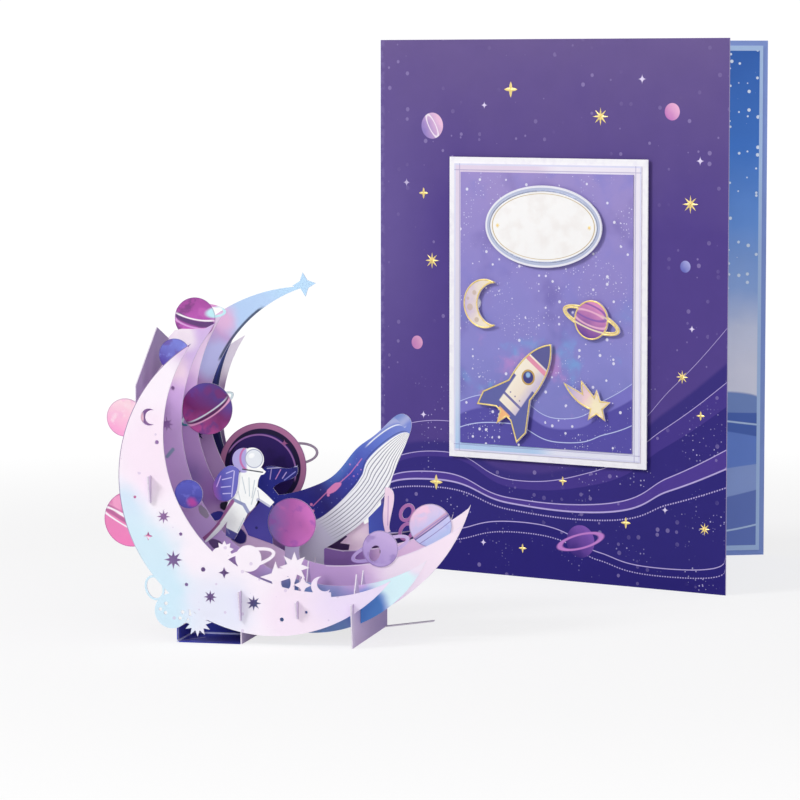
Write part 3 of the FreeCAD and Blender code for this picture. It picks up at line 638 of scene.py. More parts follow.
class CARD_OT_card(Operator):
    """Cover, back page and the printed sheet inside"""
    bl_idname = "pop_up_card.card"
    bl_label = "Card"

    def execute(self, context):
        dress("card_folder", self.cover(context.scene.card_papers), "cover_card")
        dress("inner_liner", self.liner(), "liner_paper")
        return {"FINISHED"}

    def cover(self, papers):
        sheet = cover_sheet("cover_print")
        tone = sheet.up + sheet.grain(22.0, 4.0) * 36.0
        top, middle, foot = (tuple(c) + (1.0,) for c in
                             (papers.cover_top, papers.cover_middle, papers.cover_foot))
        sheet.colour = tone.ramp((10.0, foot), (75.0, middle), (150.0, middle), (232.0, top))
        pale = (190, 176, 226)
        upper, middle, lower = ((0, 30, 62, 96, 128, 155), (0, 26, 60, 98, 130, 155),
                                (0, 34, 66, 100, 130, 155))
        flowing_bands(sheet, upper, pale, (
            ((44, 50, 40, 46, 66, 86), (56, 46, 124), 0, 1.2),
            ((40, 46, 37, 42, 60, 79), (70, 54, 138), 0.3, 0.3),
            ((37, 44, 34, 37, 53, 70), (50, 40, 122), 0, 0.3)))
        flowing_bands(sheet, middle, pale, (
            ((30, 38, 30, 30, 42, 54), (78, 58, 146), 0.4, 0.3),
            ((28, 35, 28, 27, 37, 47), (44, 36, 118), 0.6, 0.3)))
        flowing_bands(sheet, lower, pale, (((12, 16, 21, 12, 8, 14), (38, 29, 114), 0.35, 1.2),))
        flowing_lines(sheet, pale, (
            (middle, (25, 32, 25.5, 24, 32, 40), 0.5, 1.1),
            ((0, 34, 70, 104, 132, 155), (52, 58, 46, 54, 76, 99), 0.25, 0),
            (lower, (9, 12, 17, 9, 5, 10), 0.4, 1.1)))
        dust = sheet.specks(1.5, 0.5) * sheet.grain(17.0, 2.0).fade(0.52, 0.66) * sheet.up.below(74, 8)
        far_stars = sheet.specks(4.2, 0.3) * sheet.grain(30.0, 1.0).fade(0.4, 0.6)
        sheet.over((206, 200, 238), dust * 0.7)
        sheet.over((176, 160, 212), far_stars * 0.4)
        for ball in (((131.0, 178.0), 3.2, (236, 178, 214), (196, 120, 190)),
                     ((24.0, 172.0), 5.0, (240, 196, 224), (150, 130, 200), 30, (250, 236, 248)),
                     ((137.0, 121.0), 2.2, (168, 170, 226), (104, 108, 188)),
                     ((17.0, 88.0), 2.6, (232, 168, 206), (206, 132, 190)),
                     ((92.0, 15.5), 6.2, (128, 84, 176), (56, 38, 120), 50)):
            printed_ball(sheet, *ball)
        sheet.over((196, 130, 206), sheet.oval_line((92.0, 15.5), 9.6, 2.6, 16, 0.7))
        for at, reach in (((118.0, 190.0), 2.0), ((143.0, 160.0), 1.9), ((12.0, 150.0), 1.8),
                          ((140.0, 98.0), 1.6), ((48.0, 180.0), 1.6), ((129.0, 30.0), 1.6),
                          ((20.0, 60.0), 1.7), ((48.0, 12.0), 1.6)):
            printed_star(sheet, at, reach, (226, 214, 246))
        sheet.over((112, 96, 158), sheet.across.below(18.0, 16.0) * sheet.up.near(130.0, 40.0, 40.0) * 0.55)
        worn = sheet.across.below(1.4, 0.9) * sheet.grain(2.5, 3.0).fade(0.4, 0.62)
        sheet.over((150, 136, 190), worn * 0.3)
        page = sheet.lay((138, 160, 220), sheet.colour, sheet.facing.above(0.9, 0.03))
        rear = sheet.up.ramp((0, (46, 42, 126)), (CARD_HEIGHT, (92, 78, 154)))
        rear = sheet.lay(rear, (184, 166, 224), far_stars * 0.55)
        behind = (-math.sin(HALF_OPENING), math.cos(HALF_OPENING), 0)
        sheet.colour = sheet.lay(page, rear, sheet.towards(behind).above(0.9, 0.03))
        level = abs(sheet.towards((0, 0, 1))).above(0.5, 0.1)
        sheet.edge = level.most(sheet.towards((1, 0, 0)).above(0.7, 0.1))
        return sheet.finish(0.6, tooth=0.03, tooth_size=0.45, mottle=0.1, core=(168, 158, 200), sheen=0.15)

    def liner(self):
        """Sky over low hills, laid out from the fold outwards on both halves."""
        sheet = Sheet("liner_print")
        _, away, _ = sheet.parts(sheet.node("TexCoord", {}, {}, "Object"))
        x = (sheet.across - SPINE[0]) * math.cos(HALF_OPENING)
        sheet.across = x + abs(away / MM - SPINE[1]) * math.sin(HALF_OPENING)
        place = sheet.node("CombineXYZ", {}, {0: sheet.across, 1: sheet.up})
        sheet.colour = (sheet.up + sheet.grain(26.0) * 14.0).ramp(
            (80.0, (232, 232, 246)), (98.0, (214, 220, 242)), (112.0, (152, 182, 234)),
            (140.0, (110, 158, 230)), (170.0, (64, 120, 202)), (215.0, (46, 96, 178)))
        sheet.over((232, 242, 252), sheet.specks(3.6, 0.45, place) * sheet.up.above(100, 14) * 0.9)
        stations = (0, 50, 100, 132, 155)
        flowing_bands(sheet, stations, None, (
            ((60, 76, 62, 66, 62), (124, 150, 206), 0, 0.6), ((52, 60, 64, 58, 57), (78, 108, 186), 0, 0.3),
            ((44, 48, 55, 51, 47), (108, 140, 216), 0, 0.3), ((36, 32, 28, 34, 37), (150, 172, 226), 0, 0.3),
            ((24, 20, 16, 22, 27), (106, 128, 198), 0, 0.3)))
        flowing_lines(sheet, (192, 214, 242), ((stations, (48, 54, 60, 55, 52), 0.7, 0),
                                               (stations, (12, 8, 6, 9, 13), 0.7, 0)))
        side = sheet.across.above(CARD_WIDTH - 3.4, 0.05)
        sheet.over((178, 204, 240), side.most(sheet.up.above(CARD_HEIGHT - 4.0, 0.05)).most(
            sheet.up.below(4.0, 0.05)))
        sheet.edge = abs(sheet.towards((0, 0, 1))).above(0.5, 0.1)
        return sheet.finish(0.6)


class CARD_OT_picture(Operator):
    """Foam, white mat, border and the picture on the cover"""
    bl_idname = "pop_up_card.picture"
    bl_label = "Framed picture"

    def execute(self, context):
        dress("white_mat", self.mat(), "white_board")
        dress("border_mat", self.border(), "border_board")
        dress("picture_board", self.picture(), "picture_board")
        foam = self.foam()
        for name in ("mat_foam", "plaque_foam", "badge_moon_foam", "badge_rocket_foam",
                     "badge_planet_foam", "badge_comet_foam"):
            dress(name, foam, "foam")
        return {"FINISHED"}

    def foam(self):
        """Soft white foam with small open cells, painted grey in the middle of each cell as shade in its pore.
        """
        sheet = cover_sheet("foam_pad")
        cell = sheet.node("TexVoronoi", {}, {"Vector": sheet.solid, "Scale": 2.4}, "Distance")
        # Painted shade: grey in the hollow of each open cell
        colour = sheet.lay((240, 240, 238), (206, 206, 206), cell.below(0.25, 0.2))
        return sheet.surface(colour, 0.9, cell, 0.6, 0.1)

    def mat(self):
        sheet = cover_sheet("white_mat_board")
        sheet.colour = sheet.lay((248, 247, 250), (241, 239, 246), sheet.grain(3.0, 4.0).fade(0.45, 0.7))
        return sheet.finish(0.7, tooth=0.04, tooth_size=0.3, core=(250, 250, 250), mottle=0.03)

    def border(self):
        sheet = cover_sheet("border_print")
        sheet.colour = (sheet.up + sheet.grain(14.0) * 8.0).ramp(
            (48.0, (176, 208, 240)), (76.0, (216, 224, 242)), (110.0, (228, 224, 236)),
            (166.0, (230, 214, 234)))
        sheet.over((244, 240, 249), sheet.across.above(CARD_WIDTH / 2, 6.0) * 0.8)
        from_side = abs(sheet.across - CARD_WIDTH / 2)
        from_foot = abs(sheet.up - CARD_HEIGHT / 2)
        sheet.over((222, 222, 244), from_side.above(41.1, 0.05).most(from_foot.above(54.6, 0.05)))
        inner = from_side.near(39.3, 0.16, 0.06).most(from_foot.near(52.8, 0.16, 0.06))
        sheet.over((120, 110, 176), inner * 0.5)
        return sheet.finish(0.58, mottle=0.05)

    def picture(self):
        """A cloudy night sky with star dust and two pale sweeps low down."""
        sheet = cover_sheet("picture_print")
        sheet.colour = (sheet.up + sheet.grain(20.0, 6.0) * 60.0).ramp(
            (80.0, (124, 126, 196)), (112.0, (138, 136, 206)), (150.0, (146, 136, 204)),
            (190.0, (160, 144, 204)))
        haze = sheet.grain(16.0, 5.0, sheet.loosened(6.0, 20.0))
        sheet.over((134, 130, 204), haze.fade(0.5, 0.75) * 0.7)
        sheet.over((120, 168, 222), haze.fade(0.56, 0.72) * sheet.up.below(98.0, 14.0) * 0.75)
        sheet.over((196, 140, 206), sheet.grain(15.0, 5.0).fade(0.56, 0.7) * sheet.up.below(92.0, 12.0) * 0.7)
        sheet.over((78, 68, 154), sheet.grain(24.0, 3.0).fade(0.55, 0.75) * 0.45)
        stations, pale = (38, 60, 84, 104, 118), (196, 206, 242)
        flowing_bands(sheet, stations, pale, (((66, 70, 62, 70, 78), (122, 116, 198), 0.3, 0.5),
                                              ((61, 65, 58, 65, 72), (84, 76, 164), 0, 0.5)))
        flowing_lines(sheet, pale, ((stations, (56, 59, 53, 57, 62), 0.35, 0),))
        dust = sheet.specks(1.1, 0.5) * sheet.grain(10.0, 2.0).fade(0.48, 0.64)
        sheet.over((236, 238, 252), dust * 0.85)
        sheet.over((240, 238, 252), sheet.specks(3.0, 0.25) * 0.8)
        return sheet.finish(mottle=0.08, core=(150, 140, 190))


class CARD_OT_badges(Operator):
    """Oval plaque, raised badges with foil lines, and foil stars on the cover"""
    bl_idname = "pop_up_card.badges"
    bl_label = "Plaque, badges and foil"

    def execute(self, context):
        foils = context.scene.card_foils
        badges = {"plaque": self.plaque(), "badge_moon": self.moon(), "badge_rocket": self.rocket(),
                  "badge_planet": self.planet(), "badge_comet": self.comet()}
        for name, material in badges.items():
            dress(name, material, "badge_board")
        gold = self.foil("gold_foil", tuple(foils.gold) + (1.0,))
        silver = self.foil("pewter_foil", ink(150, 160, 190))
        out = (-math.sin(HALF_OPENING), -math.cos(HALF_OPENING), 0)
        width, rise = foils.line_width / MM, foils.line_rise / MM
        foil_line("badge_foil_lines", ("badge_moon", "badge_rocket", "badge_planet", "badge_comet"),
                  out, width, rise, 0.05, gold)
        foil_line("plaque_foil_line", ("plaque",), out, 0.55, rise, 1.7, silver)
        foil_stars("cover_foil_stars", (
            (60.0, 186.0, 3.0, 4), (100.0, 176.0, 3.4, 8), (139.0, 144.0, 3.4, 8), (24.0, 120.0, 3.2, 8),
            (20.0, 146.0, 2.2, 4), (136.0, 80.0, 2.6, 8), (26.0, 34.0, 3.0, 4), (112.0, 24.0, 2.2, 4),
            (144.0, 66.0, 1.8, 4), (84.0, 38.0, 1.8, 4), (146.0, 24.0, 2.4, 8), (66.0, 11.0, 1.8, 4)),
            COVER_FACE, foils.star_rise / MM, gold)
        foil_stars("plaque_foil_dots", ((57.0, 134.5, 1.1, 8), (98.0, 134.5, 1.1, 8)),
                   BADGE_FACE, 0.12, gold)
        return {"FINISHED"}

    def foil(self, name, colour):
        """Stamped foil: metallic, a little crinkled."""
        sheet = Sheet(name)
        crinkle = sheet.grain(1.4, 3.0)
        shade = sheet.lay(colour, tuple(c * 0.82 for c in colour[:3]) + (1.0,), crinkle.fade(0.4, 0.65))
        return sheet.surface(shade, crinkle.fade(0.3, 0.7, 0.3, 0.46), crinkle, 0.3, 0.03, {"Metallic": 0.4})

    def plaque(self):
        sheet = cover_sheet("plaque_print")
        middle = (77.5, 134.5)
        sheet.colour = sheet.lay((252, 251, 249), (246, 243, 240), sheet.grain(6.0).fade(0.4, 0.7))
        sheet.over((176, 186, 216), sheet.oval(middle, 24.3, 13.8).above(1.0, 0.01) * 0.9)
        sheet.over((238, 238, 246), sheet.oval(middle, 25.2, 14.7).above(1.0, 0.008))
        sheet.over((196, 170, 116), sheet.oval(middle, 22.8, 12.4).near(1.0, 0.008, 0.006))
        return sheet.finish(0.5, mottle=0.03, core=(250, 250, 248))

    def moon(self):
        """Cream moon with darker craters."""
        sheet = cover_sheet("badge_moon_print")
        sheet.colour = (sheet.across + sheet.grain(5.0) * 8.0).ramp(
            (44.0, (196, 176, 226)), (52.0, (240, 226, 214)), (60.0, (252, 240, 206)))
        for at, radius in (((44.5, 103.0), 1.3), ((46.5, 108.6), 0.9), ((47.6, 98.2), 1.0),
                           ((43.6, 106.3), 0.6)):
            sheet.over((204, 180, 160), sheet.disc(at, radius, 0.2) * 0.7)
        return sheet.finish(0.45, mottle=0.08)

    def rocket(self):
        """Cream body, slate nose and fins, one round window, warm flame: bands along its length."""
        lean = math.radians(-38)
        middle = (CARD_WIDTH / 2 - 8.5, CARD_HEIGHT / 2 - 28.0)
        across, up = Vector((math.cos(HALF_OPENING), -math.sin(HALF_OPENING), 0)), Vector((0, 0, 1))
        origin = Vector((SPINE[0], SPINE[1], 0)) + across * middle[0] + up * middle[1]
        sheet = Sheet("badge_rocket_print", tuple(across * math.cos(lean) + up * math.sin(lean)),
                      tuple(across * -math.sin(lean) + up * math.cos(lean)), tuple(origin))
        sheet.colour = (sheet.across + sheet.grain(4.0) * 2.0).ramp(
            (-5.0, (255, 246, 226)), (2.0, (246, 232, 214)), (6.5, (204, 192, 222)))
        sheet.over((92, 92, 150), sheet.up.above(11.0, 0.1))
        sheet.over((232, 150, 176), sheet.up.near(9.4, 0.9, 0.1))
        sheet.over((120, 116, 170), sheet.up.near(-8.2, 0.5, 0.1))
        fins = abs(sheet.across).above(4.6, 0.3) * sheet.up.below(0.5, 0.2)
        sheet.over((96, 100, 164), fins.most(sheet.up.below(-12.0, 0.15)))
        sheet.over((250, 190, 130), abs(sheet.across).below(3.0, 0.2) * sheet.up.below(-13.6, 0.3))
        rivet = (150, 140, 170)
        sheet.draw(sheet.disc,
                   ((196, 160, 90), 1, (0, 3.4), 3.0), ((62, 62, 132), 1, (0, 3.4), 2.3),
                   ((150, 190, 232), 1, (-0.6, 4.1), 1.0, 0.4), (rivet, 1, (-2.6, -6.2), 0.32, 0.1),
                   (rivet, 1, (0, -6.2), 0.32, 0.1), (rivet, 1, (2.6, -6.2), 0.32, 0.1))
        return sheet.finish(0.45)

    def planet(self):
        sheet = cover_sheet("badge_planet_print")
        at = (99.0, 100.0)
        sheet.colour = (236, 220, 196)
        printed_ball(sheet, at, 7.5, (226, 146, 196), (92, 60, 150), 60)
        for shift, over in ((0.5, (244, 190, 214)), (3.2, (130, 90, 176))):
            line = sheet.oval((at[0] - 0.3 * shift, at[1] + shift), 8.2, 2.6, -18).near(1.0, 0.12, 0.08)
            sheet.over(over, line * sheet.disc(at, 7.4) * 0.85)
        sheet.over((238, 222, 190), sheet.oval(at, 12.2, 3.3, -18).near(1.0, 0.09, 0.02)
                   * sheet.up.below(101.5, 1.5))
        return sheet.finish(0.45, mottle=0.08)

    def comet(self):
        """Warm at the head, blue along the tail."""
        sheet = cover_sheet("badge_comet_print")
        sheet.colour = (sheet.distance((101.5, 67.5)) + sheet.grain(3.0) * 4.0).ramp(
            (4.0, (255, 242, 204)), (8.0, (248, 214, 214)), (18.0, (160, 166, 226)))
        return sheet.finish(0.45, mottle=0.08)


# The pop up

# Each crescent: its base ink, then soft patches of (ink, middle, radius, spread); most patches are ink, some
# are painted shade where the sheets in front shade this one
INKS_AND_SHADE = {
    1: ((252, 243, 252), (
        ((216, 234, 250), (-91.0, 44.0), 5.0, 9.0), ((214, 238, 250), (-86.0, 28.0), 9.0, 12.0),
        ((212, 238, 251), (-77.0, 12.0), 8.0, 12.0), ((252, 235, 249), (-76.6, 65.4), 9.0, 12.0),
        ((249, 234, 248), (-28.1, 11.7), 8.0, 9.0), ((240, 226, 250), (-9.1, 19.1), 8.0, 12.0),
        ((224, 198, 232), (-64.0, 102.0), 5.0, 9.0), ((234, 236, 250), (-56.0, 12.0), 5.0, 12.0))),
    2: ((222, 186, 236), (
        # Painted shade: the darker patches at (-77, 66) and (-60, 30); painted shadow: the deep blue patch at
        # (-7.5, 11.5)
        ((200, 166, 220), (-77.0, 66.0), 9.0, 16.0), ((253, 228, 242), (-73.4, 92.8), 2.0, 6.0),
        ((216, 190, 234), (-61.0, 98.0), 4.0, 10.0), ((252, 238, 248), (-72.0, 103.0), 3.0, 5.0),
        ((190, 158, 214), (-60.0, 30.0), 8.0, 20.0), ((128, 166, 220), (-30.0, 2.0), 14.0, 14.0),
        ((222, 250, 255), (3.0, 20.0), 5.5, 6.0), ((84, 140, 214), (-7.5, 11.5), 4.5, 5.0),
        ((248, 236, 250), (14.0, 30.0), 5.0, 5.0))),
    3: ((240, 208, 242), (
        # Painted shade: the darker patches at (-73, 66) and (-74, 50)
        ((196, 156, 214), (-73.0, 66.0), 12.0, 22.0), ((243, 220, 245), (-64.0, 100.0), 6.0, 12.0),
        ((150, 122, 186), (-74.0, 50.0), 4.0, 10.0), ((176, 128, 200), (-61.0, 50.0), 3.0, 8.0),
        ((204, 168, 220), (-24.0, 18.0), 8.0, 14.0), ((254, 236, 250), (12.0, 28.0), 12.0, 12.0))),
    4: ((200, 164, 214), (
        ((192, 226, 255), (-38.0, 118.0), 14.0, 10.0), ((190, 218, 252), (-52.0, 110.0), 6.0, 8.0),
        ((192, 196, 238), (-66.0, 94.0), 4.0, 6.0), ((236, 194, 230), (-63.0, 108.0), 1.5, 6.0),
        ((152, 114, 188), (-28.0, 24.0), 11.0, 12.0), ((254, 238, 250), (20.0, 40.0), 12.0, 14.0),
        ((238, 206, 238), (0.0, 30.0), 4.0, 8.0))),
    5: ((46, 42, 118), (
        ((94, 110, 184), (-58.0, 100.0), 8.0, 14.0), ((30, 28, 90), (-66.0, 60.0), 10.0, 20.0),
        # Painted shade in part: the plum patch at (-20, 30) is this sheet's look in shade
        ((110, 76, 136), (-20.0, 30.0), 9.0, 12.0))),
    6: ((244, 222, 242), (
        ((252, 240, 251), (-60.0, 98.0), 9.0, 8.0), ((190, 152, 200), (-64.0, 78.0), 6.0, 5.0),
        ((132, 98, 164), (-60.0, 50.0), 12.0, 20.0), ((116, 88, 156), (-24.0, 20.0), 14.0, 16.0))),
}
# Small printed blots: ink, middle, half width, half height, lean
BLOTS = {
    2: (((96, 70, 122), (-59.6, 32.3), 3.2, 1.6, -30), ((150, 138, 160), (-64.3, 43.6), 2.6, 1.2, -55)),
    3: (((22, 12, 46), (-59.3, 44.6), 2.0, 1.5, 10), ((62, 66, 166), (-62.6, 41.0), 3.2, 1.5, 16),
        ((44, 40, 118), (-54.9, 34.5), 3.4, 2.6, -40), ((26, 14, 46), (-6.8, 27.3), 1.7, 1.7, 0)),
    4: (((26, 14, 46), (-4.6, 28.8), 2.6, 2.4, 0),),
}
CRESCENT_NAMES = ("crescent_1_front", "crescent_2_lilac", "crescent_3_violet", "crescent_4_star",
                  "crescent_5_navy", "crescent_6_back")


class CARD_OT_crescents(Operator):
    """Six crescents, each laid with soft patches of its own inks and of painted shade"""
    bl_idname = "pop_up_card.crescents"
    bl_label = "Crescents"

    def execute(self, context):
        for order, name in enumerate(CRESCENT_NAMES, 1):
            dress(name, self.inked_and_shaded(order, name), name + "_paper")
        return {"FINISHED"}

    def inked_and_shaded(self, order, name):
        """Soft patches of colour whose edges wander, some of them ink and some painted shade, blots, and thin
        lines, among them a painted edge shadow along the front crescent's rim, a painted dark slit on it and a
        painted shadow along the fourth's inner edge.
        """
        sheet = Sheet(name + "_print")
        sheet.colour, patches = INKS_AND_SHADE[order]
        place = sheet.loosened(3.0, 9.0)
        for over, at, radius, spread in patches:
            sheet.over(over, sheet.distance(at, place).fade(radius, radius + spread, 1.0, 0.0))
        ragged = sheet.loosened(0.5, 2.0)
        for over, *shape in BLOTS.get(order, ()):
            sheet.over(over, sheet.oval(*shape, ragged).below(1.0, 0.12))
        if order == 1:
            # Painted shadow: a dark line along the upper left rim, where the edge and its thickness lie in
            # shade
            rim = sheet.circle_line(OUTER[1], 0.3, -0.1) * (sheet.up - sheet.across).above(120.0, 20.0)
            sheet.over((116, 84, 140), rim * 0.8)
            # Painted shade: a dark tick for a slit that is not cut, whose gap would lie in shade
            sheet.over((120, 96, 150), sheet.stroke((-67.4, 102.2), (-65.6, 99.4), 0.35))
            sheet.over((214, 196, 226), sheet.specks(3.0, 0.16) * 0.6)
        if order == 2:
            sheet.over((110, 150, 170), sheet.stroke((-77.0, 62.2), (-75.0, 64.6), 1.2, 0.3) * 0.8)
        if order == 5:
            sheet.over((52, 62, 104), sheet.circle_line(INNER[5], 0.9, 0.4) * sheet.up.above(60.0, 10.0) * 0.8)
        if order == 4:
            # Painted shadow: a dark line along the inner edge of the star horn
            dark = sheet.circle_line(INNER[4], 0.9, 0.4) * sheet.up.near(103.0, 9.0, 1.0)
            sheet.over((50, 60, 90), dark * 0.9)
        for circle, start, end in SILLS.get(order, ()):
            pale = sheet.circle_line(circle, 0.35, 0.15) * sheet.across.above(start) * sheet.across.below(end)
            sheet.over((244, 230, 249), pale * 0.7)
        return sheet.finish(0.5, mottle=0.04, coat=0.08)


class CARD_OT_ribs(Operator):
    """Ribs, folded tray and the strip on the table"""
    bl_idname = "pop_up_card.ribs"
    bl_label = "Ribs and tray"

    def execute(self, context):
        lilac = self.rib(tuple(context.scene.card_papers.rib_colour) + (1.0,))
        for name in ("rib_left", "rib_middle", "rib_foot", "rib_waist"):
            dress(name, lilac, "rib_paper")
        dress("rib_shoulder", self.shoulder(), "rib_paper")
        dress("base_tray", self.tray(), "navy_paper")
        dress("table_strip", self.strip(), "rib_paper")
        return {"FINISHED"}

    def rib(self, colour):
        """Lilac, paler towards the viewer, with a pale line along the tab's front."""
        sheet = rib_sheet("rib_print")
        sheet.colour = (sheet.across + sheet.grain(6.0) * 10.0).ramp(
            (-136.0, (236, 224, 244)), (-124.0, colour), (-80.0, (172, 152, 204)))
        sheet.over((246, 238, 250), sheet.across.below(-135.4, 0.3))
        return sheet.finish()

    def shoulder(self):
        sheet = rib_sheet("shoulder_print")
        sheet.colour = (sheet.up * 0.6 - sheet.across * 0.5 + sheet.grain(8.0) * 10.0).ramp(
            (88.0, (218, 182, 218)), (110.0, (202, 178, 216)), (128.0, (178, 158, 200)))
        return sheet.finish(0.6)

    def tray(self):
        """Deep navy with pale fold lines where the walls turn up."""
        sheet = tray_sheet("tray_print")
        sheet.colour = (sheet.across + sheet.grain(7.0) * 8.0).ramp(
            (-70.0, (74, 78, 184)), (-60.0, (44, 52, 152)), (-50.0, (30, 34, 122)))
        low = sheet.out.below(0.9, 0.2)
        fold = (sheet.across.below(-70.5, 0.15) * low).most(sheet.up.above(-114.4, 0.15) * low)
        sheet.over((206, 210, 240), fold * 0.9)
        sheet.over((214, 214, 240), sheet.stroke((-71.0, -132.0), (-64.0, -122.0), 0.5) * 0.8)
        sheet.edge = sheet.out.above(4.9, 0.05)
        return sheet.finish(0.5, mottle=0.08)

    def strip(self):
        sheet = tray_sheet("strip_print")
        sheet.colour = sheet.grain(3.0).ramp((0.3, (150, 140, 160)), (0.7, (196, 186, 204)))
        return sheet.finish(0.6)


# Each planet: middle, radius, inks from one side to the other, lean of the light, blot inks,
# and curved lines of (height, half width, half height, lean, width, ink)
PLANETS = {
    "planet_plum_ringed": (
        around(OUTER[2], 121.0, 4.75), 7.1, ((206, 100, 198), (170, 78, 162)), 90,
        ((112, 60, 120), (200, 104, 188)),
        ((1.4, 7.6, 3.0, -14, 2.0, (98, 60, 118)), (-0.4, 7.6, 2.8, -12, 0.5, (224, 164, 224)),
         (2.0, 8.0, 2.4, -10, 0.5, (252, 246, 252)))),
    "planet_indigo": (
        around(OUTER[1], 128.6, 0.1), 5.5, ((84, 62, 160), (122, 128, 214)), 60,
        ((142, 146, 226), (104, 62, 150)), ()),
    "planet_pale_pink": (
        around(OUTER[1], 158.5, 1.4), 6.5, ((250, 168, 214), (250, 214, 226)), 70,
        ((252, 224, 236), (246, 186, 220)), ()),
    "planet_pink_banded": (
        around(OUTER[1], 196.6, -2.2), 9.5, ((244, 130, 190), (226, 136, 184)), 90,
        ((238, 142, 190), (250, 176, 212)),
        ((0.4, 12.0, 1.0, -28, 0.5, (252, 248, 252)), (-0.3, 12.0, 1.4, -28, 1.2, (190, 104, 156)),
         (-1.6, 12.0, 1.6, -28, 0.5, (252, 240, 250)))),
    "planet_violet_ringed": (
        around(INNER[3], 181.3, -4.2), 8.9, ((210, 92, 172), (132, 46, 120), (94, 74, 160)), 66,
        ((104, 72, 158), (150, 50, 118)),
        ((0.4, 10.4, 1.8, 33, 0.5, (236, 240, 250)), (0.0, 10.2, 2.3, 33, 0.9, (96, 34, 96)),
         (0.0, 9.8, 3.0, 33, 0.5, (246, 180, 220)))),
    "planet_blue_small": (
        around(INNER[1], 203.9, -4.6), 4.9, ((66, 60, 150), (84, 86, 184)), 90,
        ((104, 104, 196), (60, 56, 146)), ()),
    "planet_dark_large": (
        around(INNER[5], 213.1, -9.8), 15.6, ((40, 16, 94), (50, 24, 110)), 90,
        ((32, 10, 80), (58, 28, 120)), ()),
    "planet_rose": (
        around(INNER[3], 242.4, -10.0), 8.4, ((142, 122, 196), (206, 112, 198), (222, 122, 204)), 0,
        ((176, 96, 190), (232, 130, 204)), ()),
    "planet_lilac_cutwork": (
        around(INNER[3], 282.0, -5.9), 6.2, ((178, 152, 214), (206, 180, 230)), 60,
        ((196, 172, 224), (150, 124, 190)), ()),
    "planet_pastel": (
        around(INNER[4], 311.2, -6.0), 7.4, ((188, 208, 252), (212, 212, 252), (252, 212, 238)), 118,
        ((190, 196, 246), (216, 212, 248)),
        ((1.0, 14.0, 1.2, 37, 1.3, (212, 172, 206)), (0.2, 14.0, 1.2, 37, 0.4, (112, 100, 168)),
         (-1.6, 14.0, 1.4, 37, 0.25, (150, 140, 206)))),
}
# The ink of what stands outside a planet's disc: its ring, lobes or stem
OUTSIDE = {"planet_plum_ringed": (222, 150, 208), "planet_violet_ringed": (222, 240, 244),
           "planet_rose": (186, 172, 208), "planet_pastel": (172, 110, 172)}


class CARD_OT_planets(Operator):
    """Ten paper planets, printed with bands, blots and rings"""
    bl_idname = "pop_up_card.planets"
    bl_label = "Planets"

    def execute(self, context):
        extras = {"planet_plum_ringed": self.gleam, "planet_blue_small": self.blot,
                  "planet_indigo": self.blot, "planet_dark_large": self.night_face,
                  "planet_violet_ringed": self.ring_end}
        for name in PLANETS:
            dress(name, self.printed(name, extras.get(name)), name + "_paper")
        return {"FINISHED"}

    def printed(self, name, extra):
        at, radius, inks, lean, blots, lines = PLANETS[name]
        sheet = Sheet(name + "_print")
        turn = math.radians(lean)
        slope = sheet.across * math.cos(turn) + sheet.up * math.sin(turn)
        middle = at[0] * math.cos(turn) + at[1] * math.sin(turn)
        tone = slope + sheet.grain(radius * 0.7, 4.0) * radius * 0.9
        places = np.linspace(middle - radius * 0.45, middle + radius * 1.15, len(inks)).tolist()
        sheet.colour = tone.ramp(*zip(places, inks))
        sheet.over(blots[0], sheet.grain(radius * 0.5, 5.0).fade(0.54, 0.68) * 0.7)
        sheet.over(blots[1], sheet.grain(radius * 0.9, 2.0).fade(0.56, 0.66) * 0.6)
        for height, half_width, half_height, tilt, width, over in lines:
            up = math.radians(tilt + 90)
            side = (sheet.across - at[0]) * math.cos(up) + (sheet.up - at[1]) * math.sin(up)
            middle_at = (at[0] + height * math.cos(up), at[1] + height * math.sin(up))
            sheet.over(over, sheet.oval_line(middle_at, half_width, half_height, tilt, width)
                       * side.below(0.6, 0.5))
        if name in OUTSIDE:
            sheet.over(OUTSIDE[name], sheet.distance(at).above(radius, 0.05))
        if extra:
            extra(sheet, at, radius)
        sheet.over((92, 70, 130), sheet.distance(at).near(radius - 0.12, 0.16, 0.1) * 0.35)
        return sheet.finish(0.5, mottle=0.05, coat=0.05)

    def gleam(self, sheet, at, radius):
        """A bright cyan end of the ring at the right."""
        end = (at[0] + 8.2, at[1] + 2.2)
        sheet.over((196, 240, 248), sheet.oval(end, 4.4, 1.9, 8).below(1.0, 0.25))
        sheet.over((252, 254, 255), sheet.disc((end[0] + 0.2, end[1] + 0.6), 1.3, 0.6))

    def blot(self, sheet, at, radius):
        place = sheet.loosened(1.2, 3.0)
        mask = sheet.disc((at[0] + radius * 0.25, at[1] - radius * 0.6), radius * 0.32, radius * 0.2, place)
        sheet.over((176, 60, 150), mask * 0.9)

    def night_face(self, sheet, at, radius):
        """Dusky rose rim, a lilac arc inside it, one small star, pale loop at the right."""
        away = sheet.distance(at)
        sheet.over((24, 8, 60), away.near(12.7, 0.8, 0.15))
        sheet.over((208, 136, 182), away.above(13.6, 0.1))
        arc = sheet.distance((at[0] - 1.0, at[1] - 1.4)).near(12.8, 0.28, 0.12)
        sheet.over((186, 132, 206), arc * (sheet.up + sheet.across * 0.4).above(at[1] - 20.0, 1.0))
        printed_star(sheet, (at[0] + 7.8, at[1] + 8.6), 1.6, (190, 110, 168))
        sheet.over((168, 150, 172), away.above(radius, 0.05))

    def ring_end(self, sheet, at, radius):
        """A teal end of the ring at the left."""
        sheet.over((60, 130, 150), sheet.disc((at[0] - 8.4, at[1] - 6.4), 1.6, 0.5))


